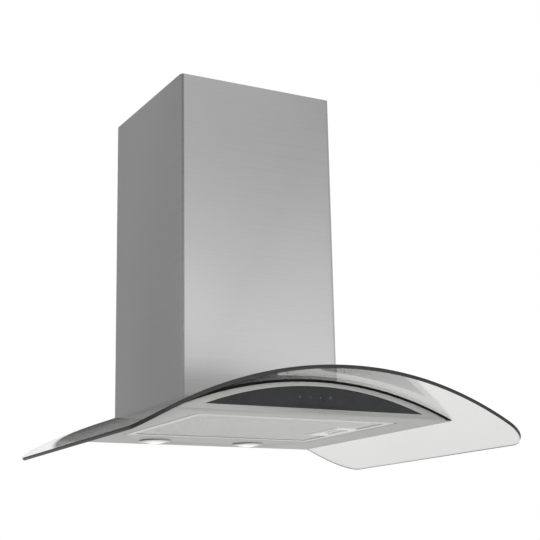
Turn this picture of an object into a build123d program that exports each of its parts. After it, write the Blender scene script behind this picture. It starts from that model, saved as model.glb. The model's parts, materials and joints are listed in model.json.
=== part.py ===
"""Curved glass range hood: a bent glass canopy on a slim steel body, with a telescopic chimney.

Millimetres. +Z is up, the wall is the plane Y = 0 and the front faces -Y. The origin lies on the
wall, midway between the two hang holes. Heights below are measured from the underside of the body.
"""

import os
from math import cos, radians, sin, sqrt

from build123d import *

os.makedirs("parts", exist_ok=True)

# ---- driving dimensions: glass and body -------------------------------------------------
hang_drop = 24.0  # hang holes below the upper edge of the back plate
hang_inset = 35.0  # hang holes from the sides of the blower box
hang_hole = 7.0
glass_width = 600.0
glass_depth = 520.0
glass_thickness = 5.0
glass_crown = 53.0  # upper face at the middle, above the underside
glass_rise = 1.25  # lower face over the side edges of the body
glass_bow = 9.5  # how far the front edge bulges at the middle
glass_front_corner = 45.0
glass_rear_corner = 58.0
notch_corner = 5.0
body_side = 64.0  # from the filter to each side of the body
body_depth = 425.0
body_sheet = 1.0
body_corner = 3.0
gasket_gap = 4.0  # space between glass and steel skin
gasket_width = 12.0
fascia_flange = 12.0
lock_spacing = 180.0
lock_height = 16.0
lock_hole = 5.0

# ---- driving dimensions: chimney --------------------------------------------------------
chimney_width = 264.0
chimney_depth = 262.0
chimney_top = 540.0
chimney_sheet = 1.0
chimney_bend = 6.0
chimney_flange = 12.0  # return at the wall, inside the cover
slide_clearance = 0.7
upper_bottom = 150.0  # lower edge of the retracted upper cover
upper_inset = 2.0  # its upper edge below that of the lower cover
vent_length = 52.0
vent_height = 3.0
vent_pitch = 9.0
vent_rows = 6
vent_columns = 2
vent_column_pitch = 66.0
bracket_height = 30.0
bracket_drop = 12.0  # wall bracket below the upper edge of its cover
bracket_slot = 14.0
bracket_slot_width = 6.0
bracket_slot_spacing = 140.0

# ---- driving dimensions: filter ---------------------------------------------------------
filter_length = 320.0
filter_depth = 262.0
filter_height = 9.0
filter_gap = 2.0  # all round, inside the opening
filter_rear = 110.0  # rear edge of the opening, in front of the wall
filter_rail = 12.0
filter_sheet = 1.0
filter_corner = 6.0
opening_flange = 12.0
tab_spacing = 150.0
tab_width = 18.0
tab_reach = 6.0  # beyond the edge of the opening
tab_thickness = 1.5
latch_length = 90.0
latch_width = 36.0
latch_pocket_length = 60.0
latch_pocket_width = 28.0
latch_pocket_height = 6.5
bolt_width = 16.0
bolt_height = 2.3
bolt_level = 4.85  # middle of the bolt
bolt_setback = 0.4  # nose short of the opening edge when drawn back

# ---- driving dimensions: lamps and touch panel -------------------------------------------
lamp_spacing = 166.0
lamp_from_wall = 50.0
lamp_bezel = 52.0
lamp_hole = 45.0
lamp_glass = 40.0
lamp_bulge = 3.2  # lens below its rim
lamp_height = 21.0
fin_count = 3
panel_half = 171.0  # half of the straight lower edge of the touch glass
panel_low = 7.6
panel_high = 38.0
panel_thickness = 3.0
panel_inset = 0.3
panel_clearance = 0.4
carrier_depth = 8.0
board_length = 120.0
board_height = 18.0
board_thickness = 1.6
key_count = 4
key_pitch = 17.0
key_height = 22.0
key_radius = 2.4

# ---- driving dimensions: blower ---------------------------------------------------------
box_room = 17.0  # from the blower box to the side of the chimney
box_front_room = 34.0  # and to its front, where the electronics go
box_rear = 10.8
box_low = 22.0
box_sheet = 1.2
box_front_lip = 38.0  # lower edge of the front wall, where the air goes in
scroll_wall = 2.0
scroll_half_width = 50.0
scroll_step = 6.0  # growth of the inner radius at each quarter turn
scroll_front_room = 8.8  # inside the blower box
scroll_rear_room = 22.0
scroll_foot = 43.0
scroll_neck = 51.0  # from the tongue up to the top of the blower box
tongue_gap = 8.0  # from the blades to the tongue
fan_half_width = 44.0
fan_ring = 2.0
blade_depth = 12.0
blade_count = 32
blade_thickness = 1.2
hub_radius = 11.0
hub_half_length = 9.0
shaft_radius = 4.0
shaft_clearance = 0.08
motor_room = 20.0  # between motor and blades
motor_near = 12.0
motor_far = 72.0
motor_chamfer = 3.0
spider_arm = 14.0
spider_count = 3
spider_sheet = 2.5
duct_radius = 75.0
duct_wall = 2.5
duct_rear_room = 37.0
duct_length = 42.0
duct_transition = 50.0
funnel_sides = 24
spigot_plate = 2.0
spigot_rim = 14.0
flap_ledge = 6.5
flap_clearance = 0.7
flap_thickness = 1.5
flap_pin_radius = 1.5
flap_knuckle_radius = 3.2
knuckle_length = 18.0
plate_thickness = 1.5
plate_flange = 20.0
clamp_length = 140.0
clamp_sheet = 1.5
clamp_reach = 14.0
clamp_height = 20.0
pad_thickness = 2.0
electronics_inset = 35.0  # from the sides of the blower box
electronics_height = 90.0
electronics_depth = 24.0
electronics_low = 110.0
electronics_wall = 2.0
gland_radius = 9.0
gland_bore = 4.0
gland_length = 18.0
gland_offset = 50.0

# ---- clearances -------------------------------------------------------------------------
contact = 0.05  # pieces that bear on each other
fit = 0.3  # pieces that are put together
notch_clearance = 2.0  # glass round the blower
screw_shank = 2.0
screw_head = 3.8
screw_head_height = 2.0

# ---- places worked out from them --------------------------------------------------------
box_width = chimney_width - 2 * box_room
box_front = chimney_depth - box_front_room
scroll_room = box_front - box_rear - 2 * box_sheet - scroll_front_room - scroll_rear_room
scroll_start = scroll_room / 2 - 2 * scroll_step - scroll_wall  # inner radius at the tongue
fan_radius = scroll_start - tongue_gap
fan_bore = fan_radius - blade_depth
fan_from_wall = box_rear + box_sheet + scroll_rear_room + scroll_wall + scroll_start + 3.5 * scroll_step
fan_height = scroll_foot + scroll_wall + scroll_start + 2 * scroll_step
motor_radius = fan_bore - motor_room
spider_radius = scroll_start
box_high = fan_height + scroll_start + scroll_neck
hang_height = box_high - hang_drop
hang_spacing = box_width - 2 * hang_inset
electronics_width = box_width - 2 * electronics_inset
duct_from_wall = duct_radius + duct_rear_room
body_width = filter_length + 2 * body_side
glass_sagitta = glass_crown - glass_thickness - glass_rise
glass_radius = (body_width**2 / 4 + glass_sagitta**2) / (2 * glass_sagitta) + glass_thickness
underside = -hang_height
arch_axis = underside + glass_crown - glass_radius
glass_inner = glass_radius - glass_thickness
skin_radius = glass_inner - gasket_gap
fascia_radius = skin_radius - body_sheet - contact
panel_top = underside + body_sheet
skin_foot = panel_top + contact
back_half = box_width / 2 + plate_thickness + contact
opening_half = filter_length / 2 + filter_gap
filter_front = filter_rear + filter_depth + 2 * filter_gap
filter_middle = (filter_front + filter_rear) / 2
low_edge = (Align.CENTER, Align.MIN)


def above(height):
    """Height above the underside, as a Z of the model."""
    return underside + height


def arch_band(outer, inner, low, half_width, front=0.0):
    """Slice of the arch between two radii and above a level, on a plane in front of the wall."""
    with BuildSketch(Plane.XZ.offset(front)) as band:
        with Locations((0, arch_axis)):
            Circle(outer)
            Circle(inner, mode=Mode.SUBTRACT)
        with Locations((0, low)):
            Rectangle(2 * half_width, glass_radius, align=low_edge, mode=Mode.INTERSECT)
    return band.sketch


def arch_segment(radius, low, half_width=body_width, front=0.0):
    """Region under the arch and above a level, on a plane in front of the wall."""
    with BuildSketch(Plane.XZ.offset(front)) as segment:
        with Locations((0, arch_axis)):
            Circle(radius)
        with Locations((0, low)):
            Rectangle(2 * half_width, glass_radius, align=low_edge, mode=Mode.INTERSECT)
    return segment.sketch


def plan_rectangle(level, half_width, front, rear=0.0, corner=0.0):
    """Rectangle seen from above, between two distances in front of the wall."""
    with BuildSketch(Plane.XY.offset(level)) as plan:
        with Locations((0, -(front + rear) / 2)):
            Rectangle(2 * half_width, front - rear)
        if corner:
            fillet(plan.vertices(), corner)
    return plan.sketch


def facing(x, y, z, direction):
    """Plane at a point, looking out of the material along a direction."""
    along = (0, 1, 0) if direction[0] else (1, 0, 0)
    return Plane(origin=(x, y, z), x_dir=along, z_dir=direction)


def on_both_sides(x, places):
    """Planes on the two outer sides of a box, at pairs of (Y, Z)."""
    right = [facing(x, y, z, (1, 0, 0)) for y, z in places]
    left = [facing(-x, y, z, (-1, 0, 0)) for y, z in places]
    return right + left


def screws(seats, length):
    """Hexagon head screws: a head on each seat and a shank into the material."""
    with BuildPart() as group:
        with BuildSketch(*seats):
            RegularPolygon(screw_head, 6)
        extrude(amount=screw_head_height)
        with BuildSketch(*seats):
            Circle(screw_shank)
        extrude(amount=-length)
    return group


def drill(seats, depth):
    """Screw holes through whatever lies behind the seats."""
    with Locations(*seats):
        Hole(screw_shank + contact, depth)


# ---- bent glass canopy, with the notch that goes round the blower -------------------------
notch_half = back_half + notch_clearance
notch_depth = box_front + notch_clearance
side_allowance = 0.05  # left for the cut that squares the ends to the sheet
with BuildPart() as canopy_glass:
    with BuildSketch(Plane.XY.offset(arch_axis + glass_radius / 2)) as outline:
        with BuildLine():
            half = glass_width / 2
            side_end = -(glass_depth - glass_bow)
            side = half + side_allowance
            Polyline((-side, side_end), (-side, 0), (side, 0), (side, side_end))
            ThreePointArc((side, side_end), (0, -glass_depth), (-side, side_end))
        make_face()
        fillet(outline.vertices().group_by(Axis.Y)[-1], glass_rear_corner)
        fillet(outline.vertices().group_by(Axis.Y)[0], glass_front_corner)
    extrude(amount=glass_radius)
    with BuildSketch(Plane.XY.offset(arch_axis + glass_radius / 2)) as notch:
        with Locations((0, 0)):
            Rectangle(2 * notch_half, 2 * notch_depth)
        fillet(notch.vertices(), notch_corner)
    extrude(amount=glass_radius, mode=Mode.SUBTRACT)
    with BuildSketch(Plane.XZ) as bent_sheet:
        with Locations((0, arch_axis)):
            Circle(glass_radius)
            Circle(glass_inner, mode=Mode.SUBTRACT)
        with BuildLine():
            ends = arch_axis + 2 * sqrt(glass_radius**2 - half**2)
            Polyline((0, arch_axis), (2 * half, ends), (-2 * half, ends), close=True)
        make_face(mode=Mode.INTERSECT)
    extrude(amount=glass_depth, mode=Mode.INTERSECT)

# ---- black gasket between glass and steel, a frame all round -----------------------------
with BuildPart() as glass_gasket:
    extrude(
        arch_band(glass_inner - contact, skin_radius + contact, skin_foot, body_width / 2),
        amount=body_depth,
    )
    extrude(
        plan_rectangle(
            underside, body_width / 2 - 2 * gasket_width, body_depth - gasket_width, gasket_width
        ),
        amount=glass_crown,
        mode=Mode.SUBTRACT,
    )
    extrude(
        plan_rectangle(underside, notch_half, gasket_width),
        amount=glass_crown,
        mode=Mode.SUBTRACT,
    )

# ---- steel skin under the glass, notched like it ------------------------------------------
skin_notch_half = back_half + fit
skin_notch_depth = box_front + fit
with BuildPart() as top_skin:
    extrude(
        arch_band(skin_radius, skin_radius - body_sheet, skin_foot, body_width / 2),
        amount=body_depth,
    )
    extrude(
        plan_rectangle(underside, skin_notch_half, skin_notch_depth),
        amount=glass_crown,
        mode=Mode.SUBTRACT,
    )

# ---- steel underside: filter opening with folded edges, lamp holes, slots ------------------
latch_slot_width = bolt_width + 2.0
latch_slot_height = bolt_height + 2.7
tab_slot_width = tab_width + 4.0
tab_slot_height = 9.0
with BuildPart() as underside_panel:
    extrude(
        plan_rectangle(underside, body_width / 2, body_depth - body_sheet - fit, corner=body_corner),
        amount=body_sheet,
    )
    extrude(
        plan_rectangle(
            underside, opening_half + body_sheet, filter_front + body_sheet, filter_rear - body_sheet
        ),
        amount=opening_flange,
    )
    extrude(
        plan_rectangle(underside, opening_half, filter_front, filter_rear),
        amount=opening_flange,
        mode=Mode.SUBTRACT,
    )
    with Locations((0, -lamp_from_wall, panel_top)):
        with GridLocations(lamp_spacing, 0, 2, 1):
            Hole(lamp_hole / 2, 2 * body_sheet)
    with BuildSketch(Plane.YZ.offset(opening_half - body_sheet)):
        with Locations((-filter_middle, above(bolt_level))):
            Rectangle(latch_slot_width, latch_slot_height)
    extrude(amount=3 * body_sheet, mode=Mode.SUBTRACT)
    with BuildSketch(Plane.YZ.offset(-opening_half + body_sheet)):
        with Locations((-filter_middle, above(body_sheet))):
            with GridLocations(tab_spacing, 0, 2, 1):
                Rectangle(tab_slot_width, tab_slot_height, align=low_edge)
    extrude(amount=-3 * body_sheet, mode=Mode.SUBTRACT)


# ---- arched front fascia with the opening for the touch glass ------------------------------
def touch_shape(front, grow=0.0):
    """Outline of the touch glass: a straight lower edge under a long arc."""
    low = above(panel_low) - grow
    high = above(panel_high) + grow
    half = panel_half + 3 * grow
    with BuildSketch(Plane.XZ.offset(front)) as shape:
        with BuildLine():
            Line((-half, low), (half, low))
            ThreePointArc((half, low), (0, high), (-half, low))
        make_face()
    return shape.sketch


fascia_back = body_depth - body_sheet
with BuildPart() as front_fascia:
    extrude(arch_segment(fascia_radius, underside, front=fascia_back), amount=body_sheet)
    extrude(
        arch_band(
            fascia_radius,
            fascia_radius - body_sheet,
            skin_foot + fit,
            body_width / 2,
            front=body_depth - fascia_flange,
        ),
        amount=fascia_flange,
    )
    extrude(touch_shape(fascia_back, panel_clearance), amount=body_sheet, mode=Mode.SUBTRACT)

# ---- rear wall of the body, with the lock holes --------------------------------------------
with BuildPart() as rear_wall:
    extrude(arch_segment(fascia_radius, skin_foot), amount=body_sheet)
    with Locations(facing(0, 0, above(lock_height), (0, 1, 0))):
        with GridLocations(lock_spacing, 0, 2, 1):
            Hole(lock_hole / 2, 2 * body_sheet)

# ---- touch glass, its carrier, control board and touch springs -----------------------------
touch_front = body_depth - panel_inset
touch_back = touch_front - panel_thickness
carrier_front = fascia_back - contact
carrier_back = carrier_front - carrier_depth
board_front = touch_back - fit - 2.4
with BuildPart() as touch_panel:
    extrude(touch_shape(touch_back), amount=panel_thickness)

with BuildPart() as panel_carrier:
    extrude(
        arch_segment(
            fascia_radius - body_sheet - fit,
            skin_foot + fit,
            panel_half + gasket_width,
            front=carrier_back,
        ),
        amount=carrier_depth,
    )
    extrude(
        touch_shape(touch_back - contact, panel_clearance), amount=carrier_depth, mode=Mode.SUBTRACT
    )
    with BuildSketch(Plane.XZ.offset(carrier_back)):
        with Locations((0, above(key_height))):
            Rectangle(board_length + 2 * fit, board_height + 2 * fit)
    extrude(amount=board_front + contact - carrier_back, mode=Mode.SUBTRACT)
    with Locations(facing(0, -touch_back, above(key_height), (0, -1, 0))):
        with GridLocations(key_pitch, 0, key_count, 1):
            Hole(key_radius + 2 * fit, carrier_depth)

with BuildPart() as control_board:
    with BuildSketch(Plane.XZ.offset(board_front - board_thickness)):
        with Locations((0, above(key_height))):
            Rectangle(board_length, board_height)
    extrude(amount=board_thickness)

with BuildPart() as touch_springs:
    with BuildSketch(Plane.XZ.offset(board_front + contact)):
        with Locations((0, above(key_height))):
            with GridLocations(key_pitch, 0, key_count, 1):
                Circle(key_radius)
    extrude(amount=touch_back - board_front - 2 * contact)

# ---- back plate that hangs on the wall ------------------------------------------------------
lowest_screw = 70.0
screw_levels = [lowest_screw, (lowest_screw + box_high - bracket_height) / 2, box_high - bracket_height]
side_screw_y = -(box_rear + plate_flange - plate_thickness) / 2 - 1.0
box_seats = on_both_sides(back_half, [(side_screw_y, above(h)) for h in screw_levels])
with BuildPart() as back_plate:
    with BuildSketch(Plane.XY.offset(underside)) as channel:
        with BuildLine():
            Polyline(
                (-back_half, -plate_flange),
                (-back_half, 0),
                (back_half, 0),
                (back_half, -plate_flange),
            )
            offset(amount=-plate_thickness, side=Side.RIGHT)
        make_face()
    extrude(amount=box_high)
    extrude(
        arch_segment(fascia_radius + contact, underside), amount=2 * plate_flange, mode=Mode.SUBTRACT
    )
    with Locations(facing(0, 0, 0, (0, 1, 0))):
        with GridLocations(hang_spacing, 0, 2, 1):
            Hole(hang_hole / 2, 2 * plate_thickness)
    drill(box_seats, 4.0)

# ---- blower box: open below, front wall cut short for the air from the filter ---------------
side_wall = box_width / 2
chute_half = scroll_half_width - scroll_wall
chute_rear = fan_from_wall - scroll_start - 3.5 * scroll_step
chute_front = fan_from_wall + 4.0
rim_half = chute_half + spigot_rim
rim_front = chute_front + spigot_rim
rim_rear = chute_rear - spigot_rim
rim_inset = 6.0
spigot_base = above(box_high + box_sheet) + contact
spigot_seats = [
    facing(x, -y, spigot_base + spigot_plate, (0, 0, 1))
    for x in (-rim_half + rim_inset, rim_half - rim_inset)
    for y in (rim_front - rim_inset, rim_rear + rim_inset)
]
clamp_rear = (box_front + box_rear - clamp_length) / 2
clamp_foot = side_wall + contact
clamp_places = [-(clamp_rear + clamp_length * share) for share in (0.2, 0.8)]
clamp_level = 58.0
clamp_seats = on_both_sides(clamp_foot + clamp_sheet, [(y, above(clamp_level)) for y in clamp_places])
with BuildPart() as blower_box:
    extrude(
        plan_rectangle(above(box_low), side_wall, box_front, box_rear),
        amount=box_high + box_sheet - box_low,
    )
    extrude(
        plan_rectangle(
            above(box_low), side_wall - box_sheet, box_front - box_sheet, box_rear + box_sheet
        ),
        amount=box_high - box_low,
        mode=Mode.SUBTRACT,
    )
    extrude(
        plan_rectangle(
            above(box_low), side_wall - box_sheet, box_front + box_sheet, box_front - 2 * box_sheet
        ),
        amount=box_front_lip - box_low,
        mode=Mode.SUBTRACT,
    )
    extrude(
        plan_rectangle(above(box_high - box_sheet), chute_half, chute_front, chute_rear),
        amount=3 * box_sheet,
        mode=Mode.SUBTRACT,
    )
    drill(box_seats, 4.0)
    drill(clamp_seats, 4.0)
    drill(spigot_seats, 6.0)

box_screws = screws(box_seats, 3.0)


# ---- brackets under the skin, clamps and rubber pads on the glass ---------------------------
def arch_level(radius, x):
    """Height of an arch at a distance from the middle."""
    return arch_axis + sqrt(radius**2 - x**2)


bracket_reach = 20.0
with BuildPart() as skin_brackets:
    bracket_top = skin_radius - body_sheet - contact
    extrude(
        arch_band(
            bracket_top,
            bracket_top - clamp_sheet,
            underside,
            clamp_foot + bracket_reach,
            front=clamp_rear,
        ),
        amount=clamp_length,
    )
    extrude(
        plan_rectangle(
            above(box_low), clamp_foot + clamp_sheet, clamp_rear + clamp_length, clamp_rear
        ),
        amount=arch_level(bracket_top, clamp_foot + clamp_sheet) - above(box_low),
    )
    extrude(
        plan_rectangle(underside, clamp_foot, box_front, box_rear),
        amount=box_high,
        mode=Mode.SUBTRACT,
    )

with BuildPart() as clamp_pads:
    extrude(
        arch_band(
            glass_radius + contact + pad_thickness,
            glass_radius + contact,
            underside,
            clamp_foot + clamp_reach,
            front=clamp_rear,
        ),
        amount=clamp_length,
    )
    extrude(
        plan_rectangle(underside, notch_half, box_front, box_rear),
        amount=box_high,
        mode=Mode.SUBTRACT,
    )

with BuildPart() as glass_clamps:
    clamp_under = glass_radius + pad_thickness + 2 * contact
    clamp_toe = arch_level(clamp_under, clamp_foot + clamp_sheet)
    extrude(
        arch_band(
            clamp_under + clamp_sheet,
            clamp_under,
            underside,
            clamp_foot + clamp_reach,
            front=clamp_rear,
        ),
        amount=clamp_length,
    )
    extrude(
        plan_rectangle(
            clamp_toe, clamp_foot + clamp_sheet, clamp_rear + clamp_length, clamp_rear
        ),
        amount=clamp_height,
    )
    extrude(
        plan_rectangle(underside, clamp_foot, box_front, box_rear),
        amount=box_high,
        mode=Mode.SUBTRACT,
    )
    drill(clamp_seats, 4.0)

clamp_screws = screws(clamp_seats, 3.0)

# ---- fan scroll in two moulded halves --------------------------------------------------------
fan_middle = (-fan_from_wall, above(fan_height))
fan_axis = Axis((0, -fan_from_wall, above(fan_height)), (1, 0, 0))
inlet_radius = fan_bore + 2.0
bell_depth = 3.5
bell_wall = 2.0
half_gap = contact / 2


def scroll_section(x, wall=0.0):
    """Spiral of three quarter turns with the chute that leads up from it."""
    first = scroll_start + scroll_step / 2
    top = above(box_high) + 4 * scroll_wall
    tongue = (-fan_from_wall, above(fan_height) + scroll_start)
    with BuildSketch(Plane.YZ.offset(x)) as section:
        with BuildLine():
            front = JernArc(tongue, (-1, 0), first, 90)
            bottom = JernArc(front @ 1, (0, -1), first + scroll_step, 90)
            rear = JernArc(bottom @ 1, (1, 0), first + 2 * scroll_step, 90)
            Polyline(rear @ 1, (-chute_rear, top), (-chute_front, top), tongue)
        make_face()
        if wall:
            offset(amount=wall)
    return section.sketch


spider_near = scroll_half_width + contact
spider_turn = 30.0
spider_seats = []
for arm in range(spider_count):
    turn = radians(spider_turn + arm * 360 / spider_count)
    seat_y = fan_middle[0] + (spider_radius - 2 * screw_shank) * cos(turn)
    seat_z = fan_middle[1] + (spider_radius - 2 * screw_shank) * sin(turn)
    spider_seats.append(facing(spider_near + spider_sheet, seat_y, seat_z, (1, 0, 0)))

with BuildPart() as scroll_right:
    extrude(scroll_section(half_gap, scroll_wall), amount=scroll_half_width - half_gap)
    extrude(
        plan_rectangle(above(box_high) - contact - scroll_wall, rim_half, rim_front, rim_rear),
        amount=scroll_wall,
    )
    extrude(scroll_section(half_gap), amount=chute_half - half_gap, mode=Mode.SUBTRACT)
    with BuildSketch(Plane.YZ.offset(chute_half - scroll_wall)):
        with Locations(fan_middle):
            Circle(inlet_radius + bell_depth)
    extrude(amount=3 * scroll_wall, mode=Mode.SUBTRACT)
    with BuildSketch(Plane.XZ.offset(fan_from_wall)):
        with BuildLine():
            lip = (scroll_half_width, fan_middle[1] + inlet_radius + bell_depth)
            throat = (scroll_half_width - bell_depth, fan_middle[1] + inlet_radius)
            throat_back = (throat[0], throat[1] + bell_wall)
            lip_back = (lip[0] - bell_wall, lip[1])
            Polyline(lip, throat, throat_back, lip_back, close=True)
        make_face()
    revolve(axis=fan_axis)
    extrude(
        plan_rectangle(above(box_high) - contact, rim_half, rim_front, rim_rear),
        amount=10 * scroll_wall,
        mode=Mode.SUBTRACT,
    )
    split(bisect_by=Plane.YZ.offset(half_gap))
    drill(spider_seats, 6.0)
    drill(spigot_seats, 6.0)

with BuildPart() as scroll_left:
    mirror(scroll_right.part, about=Plane.YZ)

# ---- impeller: forward-curved blades on both sides of a disc, air enters at both ends ---------
blade_lean = 8.0
blade_camber = 2.6
blade_foot = fan_bore
blade_tip = fan_radius - 1.0
with BuildSketch() as blade:
    with BuildLine() as camber_line:
        middle = ((blade_foot + blade_tip) / 2 + blade_camber / 2, blade_lean / 2 - blade_camber)
        ThreePointArc((blade_foot, 0), middle, (blade_tip - 0.5, blade_lean))
        offset(amount=blade_thickness, side=Side.LEFT)
    make_face()

with BuildPart() as impeller:
    with BuildSketch(Plane.YZ.offset(-fan_half_width + fan_ring / 2)):
        with Locations(fan_middle):
            with PolarLocations(0, blade_count):
                add(blade.sketch)
    extrude(amount=2 * fan_half_width - fan_ring)
    for start, thickness, outer, inner in (
        (-fan_half_width, fan_ring, fan_radius, fan_bore - 1.0),
        (fan_half_width - fan_ring, fan_ring, fan_radius, fan_bore - 1.0),
        (-fan_ring / 2, fan_ring, fan_radius, shaft_radius + contact),
        (-hub_half_length, 2 * hub_half_length, hub_radius, shaft_radius + contact),
    ):
        with BuildSketch(Plane.YZ.offset(start)):
            with Locations(fan_middle):
                Circle(outer)
                Circle(inner, mode=Mode.SUBTRACT)
        extrude(amount=thickness)
    with BuildSketch(Plane.YZ.offset(-hub_half_length)):
        with Locations(fan_middle):
            Circle(shaft_radius + contact)
    extrude(amount=2 * hub_half_length, mode=Mode.SUBTRACT)


# ---- motor, its shaft, the spider that holds it, and the capacitor ----------------------------
def round_bar(start, length, radius, bore=0.0):
    """Turned piece along the fan axis."""
    with BuildSketch(Plane.YZ.offset(start)) as section:
        with Locations(fan_middle):
            Circle(radius)
            if bore:
                Circle(bore, mode=Mode.SUBTRACT)
    return extrude(section.sketch, amount=length)


with BuildPart() as motor_shaft:
    add(round_bar(-hub_half_length - 6.0, motor_far + hub_half_length + 9.0, shaft_radius))

bearing_length = 4.0
with BuildPart() as motor_body:
    bearing_bore = shaft_radius + shaft_clearance
    add(round_bar(motor_near + bearing_length, motor_far - motor_near - 8.0, motor_radius, bearing_bore))
    add(round_bar(motor_near, motor_far - motor_near, motor_radius / 2, bearing_bore))
    chamfer(motor_body.edges().filter_by(GeomType.CIRCLE).group_by(SortBy.RADIUS)[-1], motor_chamfer)

with BuildPart() as motor_bracket:
    with BuildSketch(Plane.YZ.offset(spider_near)):
        with Locations(fan_middle):
            Circle(motor_radius + spider_arm / 2)
            with PolarLocations(spider_radius / 2, spider_count, start_angle=spider_turn):
                Rectangle(spider_radius, spider_arm)
            Circle(motor_radius + contact, mode=Mode.SUBTRACT)
    extrude(amount=spider_sheet)
    drill(spider_seats, 6.0)

motor_screws = screws(spider_seats, 5.0)

capacitor_radius = 15.0
capacitor_length = side_wall - scroll_half_width - 21.0
with BuildPart() as capacitor:
    with BuildSketch(Plane.YZ.offset(-side_wall + box_sheet + contact)):
        with Locations((-fan_from_wall + 5 * capacitor_radius, above(box_high) - 3.6 * capacitor_radius)):
            Circle(capacitor_radius)
    extrude(amount=capacitor_length)
    chamfer(capacitor.faces().sort_by(Axis.X)[-1].edges(), 1.5)

# ---- outlet spigot: rectangular chute to round duct -------------------------------------------
chute_depth = chute_front - chute_rear
chute_centre = (chute_front + chute_rear) / 2
collar_base = spigot_base + spigot_plate + duct_transition
duct_inner = duct_radius - duct_wall
ledge_top = collar_base + duct_wall
pin_level = ledge_top + flap_clearance + flap_knuckle_radius


def funnel_ring(half_width, half_depth):
    """Corners of a rectangle whose outline is divided like the circle above it."""
    corners = []
    for index in range(funnel_sides):
        turn = radians(360.0 * index / funnel_sides)
        reach = max(abs(cos(turn)), abs(sin(turn)))
        corners.append((half_width * cos(turn) / reach, half_depth * sin(turn) / reach))
    return corners


def spigot_funnel(grow, radius):
    """Transition from the rectangle of the chute to the circle of the duct, in flat strips."""
    with BuildPart() as funnel:
        with BuildSketch(Plane.XY.offset(spigot_base + spigot_plate)):
            with Locations((0, -chute_centre)):
                Polygon(*funnel_ring(chute_half + grow, chute_depth / 2 + grow), align=None)
        with BuildSketch(Plane.XY.offset(collar_base - contact)):
            with Locations((0, -duct_from_wall)):
                RegularPolygon(radius, funnel_sides)
        loft(ruled=True)
    return funnel.part


def duct_cylinder(base, radius, height):
    """Upright cylinder on the axis of the duct."""
    with BuildSketch(Plane.XY.offset(base)) as disc:
        with Locations((0, -duct_from_wall)):
            Circle(radius)
    return extrude(disc.sketch, amount=height)


with BuildPart() as outlet_spigot:
    extrude(plan_rectangle(spigot_base, rim_half, rim_front, rim_rear, 4.0), amount=spigot_plate)
    extrude(
        plan_rectangle(spigot_base, chute_half, chute_front, chute_rear),
        amount=spigot_plate,
        mode=Mode.SUBTRACT,
    )
    add(spigot_funnel(duct_wall, duct_radius))
    add(spigot_funnel(0.0, duct_inner), mode=Mode.SUBTRACT)
    drill(spigot_seats, 6.0)

spigot_screws = screws(spigot_seats, 6.0)

# ---- duct collar on the funnel, with the ledge that the flaps close on ------------------------
with BuildPart() as duct_collar:
    add(duct_cylinder(collar_base, duct_radius, duct_length))
    add(duct_cylinder(collar_base, duct_inner - flap_ledge, duct_length), mode=Mode.SUBTRACT)
    add(duct_cylinder(ledge_top, duct_inner, duct_length), mode=Mode.SUBTRACT)
    with BuildSketch(Plane.YZ.offset(-duct_radius)):
        with Locations((-duct_from_wall, pin_level)):
            Circle(flap_pin_radius + contact)
    extrude(amount=2 * duct_radius, mode=Mode.SUBTRACT)

# ---- two half-moon non-return flaps on one pin -------------------------------------------------
with BuildPart() as flap_pin:
    with BuildSketch(Plane.YZ.offset(-duct_radius + contact)):
        with Locations((-duct_from_wall, pin_level)):
            Circle(flap_pin_radius)
    extrude(amount=2 * (duct_radius - contact))

knuckle_pitch = 30.0
flap_edge = 0.9  # inner edge of each half moon, beside the pin


def knuckle_sections(first, radius):
    """Two barrels of a flap, one hinge length apart from those of the other flap."""
    barrels = []
    for place in (first, first + 2 * knuckle_pitch):
        with BuildSketch(Plane.YZ.offset(place - knuckle_length / 2)) as barrel:
            with Locations((-duct_from_wall, pin_level)):
                Circle(radius)
        barrels.append(extrude(barrel.sketch, amount=knuckle_length))
    return barrels


with BuildPart() as front_flap:
    with BuildSketch(Plane.XY.offset(pin_level - flap_knuckle_radius)):
        with Locations((0, -duct_from_wall)):
            Circle(duct_inner - flap_clearance)
            with Locations((0, -flap_edge)):
                Rectangle(
                    2 * duct_radius, duct_radius, align=(Align.CENTER, Align.MAX), mode=Mode.INTERSECT
                )
            with Locations((-knuckle_pitch / 2, 0), (1.5 * knuckle_pitch, 0)):
                Rectangle(
                    knuckle_length + 2 * flap_clearance,
                    2 * (flap_knuckle_radius + flap_clearance),
                    mode=Mode.SUBTRACT,
                )
    extrude(amount=flap_thickness)
    add(knuckle_sections(-1.5 * knuckle_pitch, flap_knuckle_radius))
    with BuildSketch(Plane.YZ.offset(-duct_radius)):
        with Locations((-duct_from_wall, pin_level)):
            Circle(flap_pin_radius + shaft_clearance)
    extrude(amount=2 * duct_radius, mode=Mode.SUBTRACT)

with BuildPart() as rear_flap:
    add(front_flap.part.rotate(Axis((0, -duct_from_wall, 0), (0, 0, 1)), 180))

# ---- electronics box on the front of the blower box --------------------------------------------
electronics_back = box_front + contact
electronics_front = electronics_back + electronics_depth - electronics_wall - contact
gland_from_wall = (electronics_back + electronics_front) / 2
electronics_top = electronics_low + electronics_height
gland_neck = gland_radius - 2.5
with BuildPart() as electronics_box:
    extrude(
        plan_rectangle(
            above(electronics_low), electronics_width / 2, electronics_front, electronics_back
        ),
        amount=electronics_height,
    )
    extrude(
        plan_rectangle(
            above(electronics_low + electronics_wall),
            electronics_width / 2 - electronics_wall,
            electronics_front,
            electronics_back + electronics_wall,
        ),
        amount=electronics_height - 2 * electronics_wall,
        mode=Mode.SUBTRACT,
    )
    with Locations((gland_offset, -gland_from_wall, above(electronics_top))):
        Hole(gland_neck + contact, 2 * electronics_wall)

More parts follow.
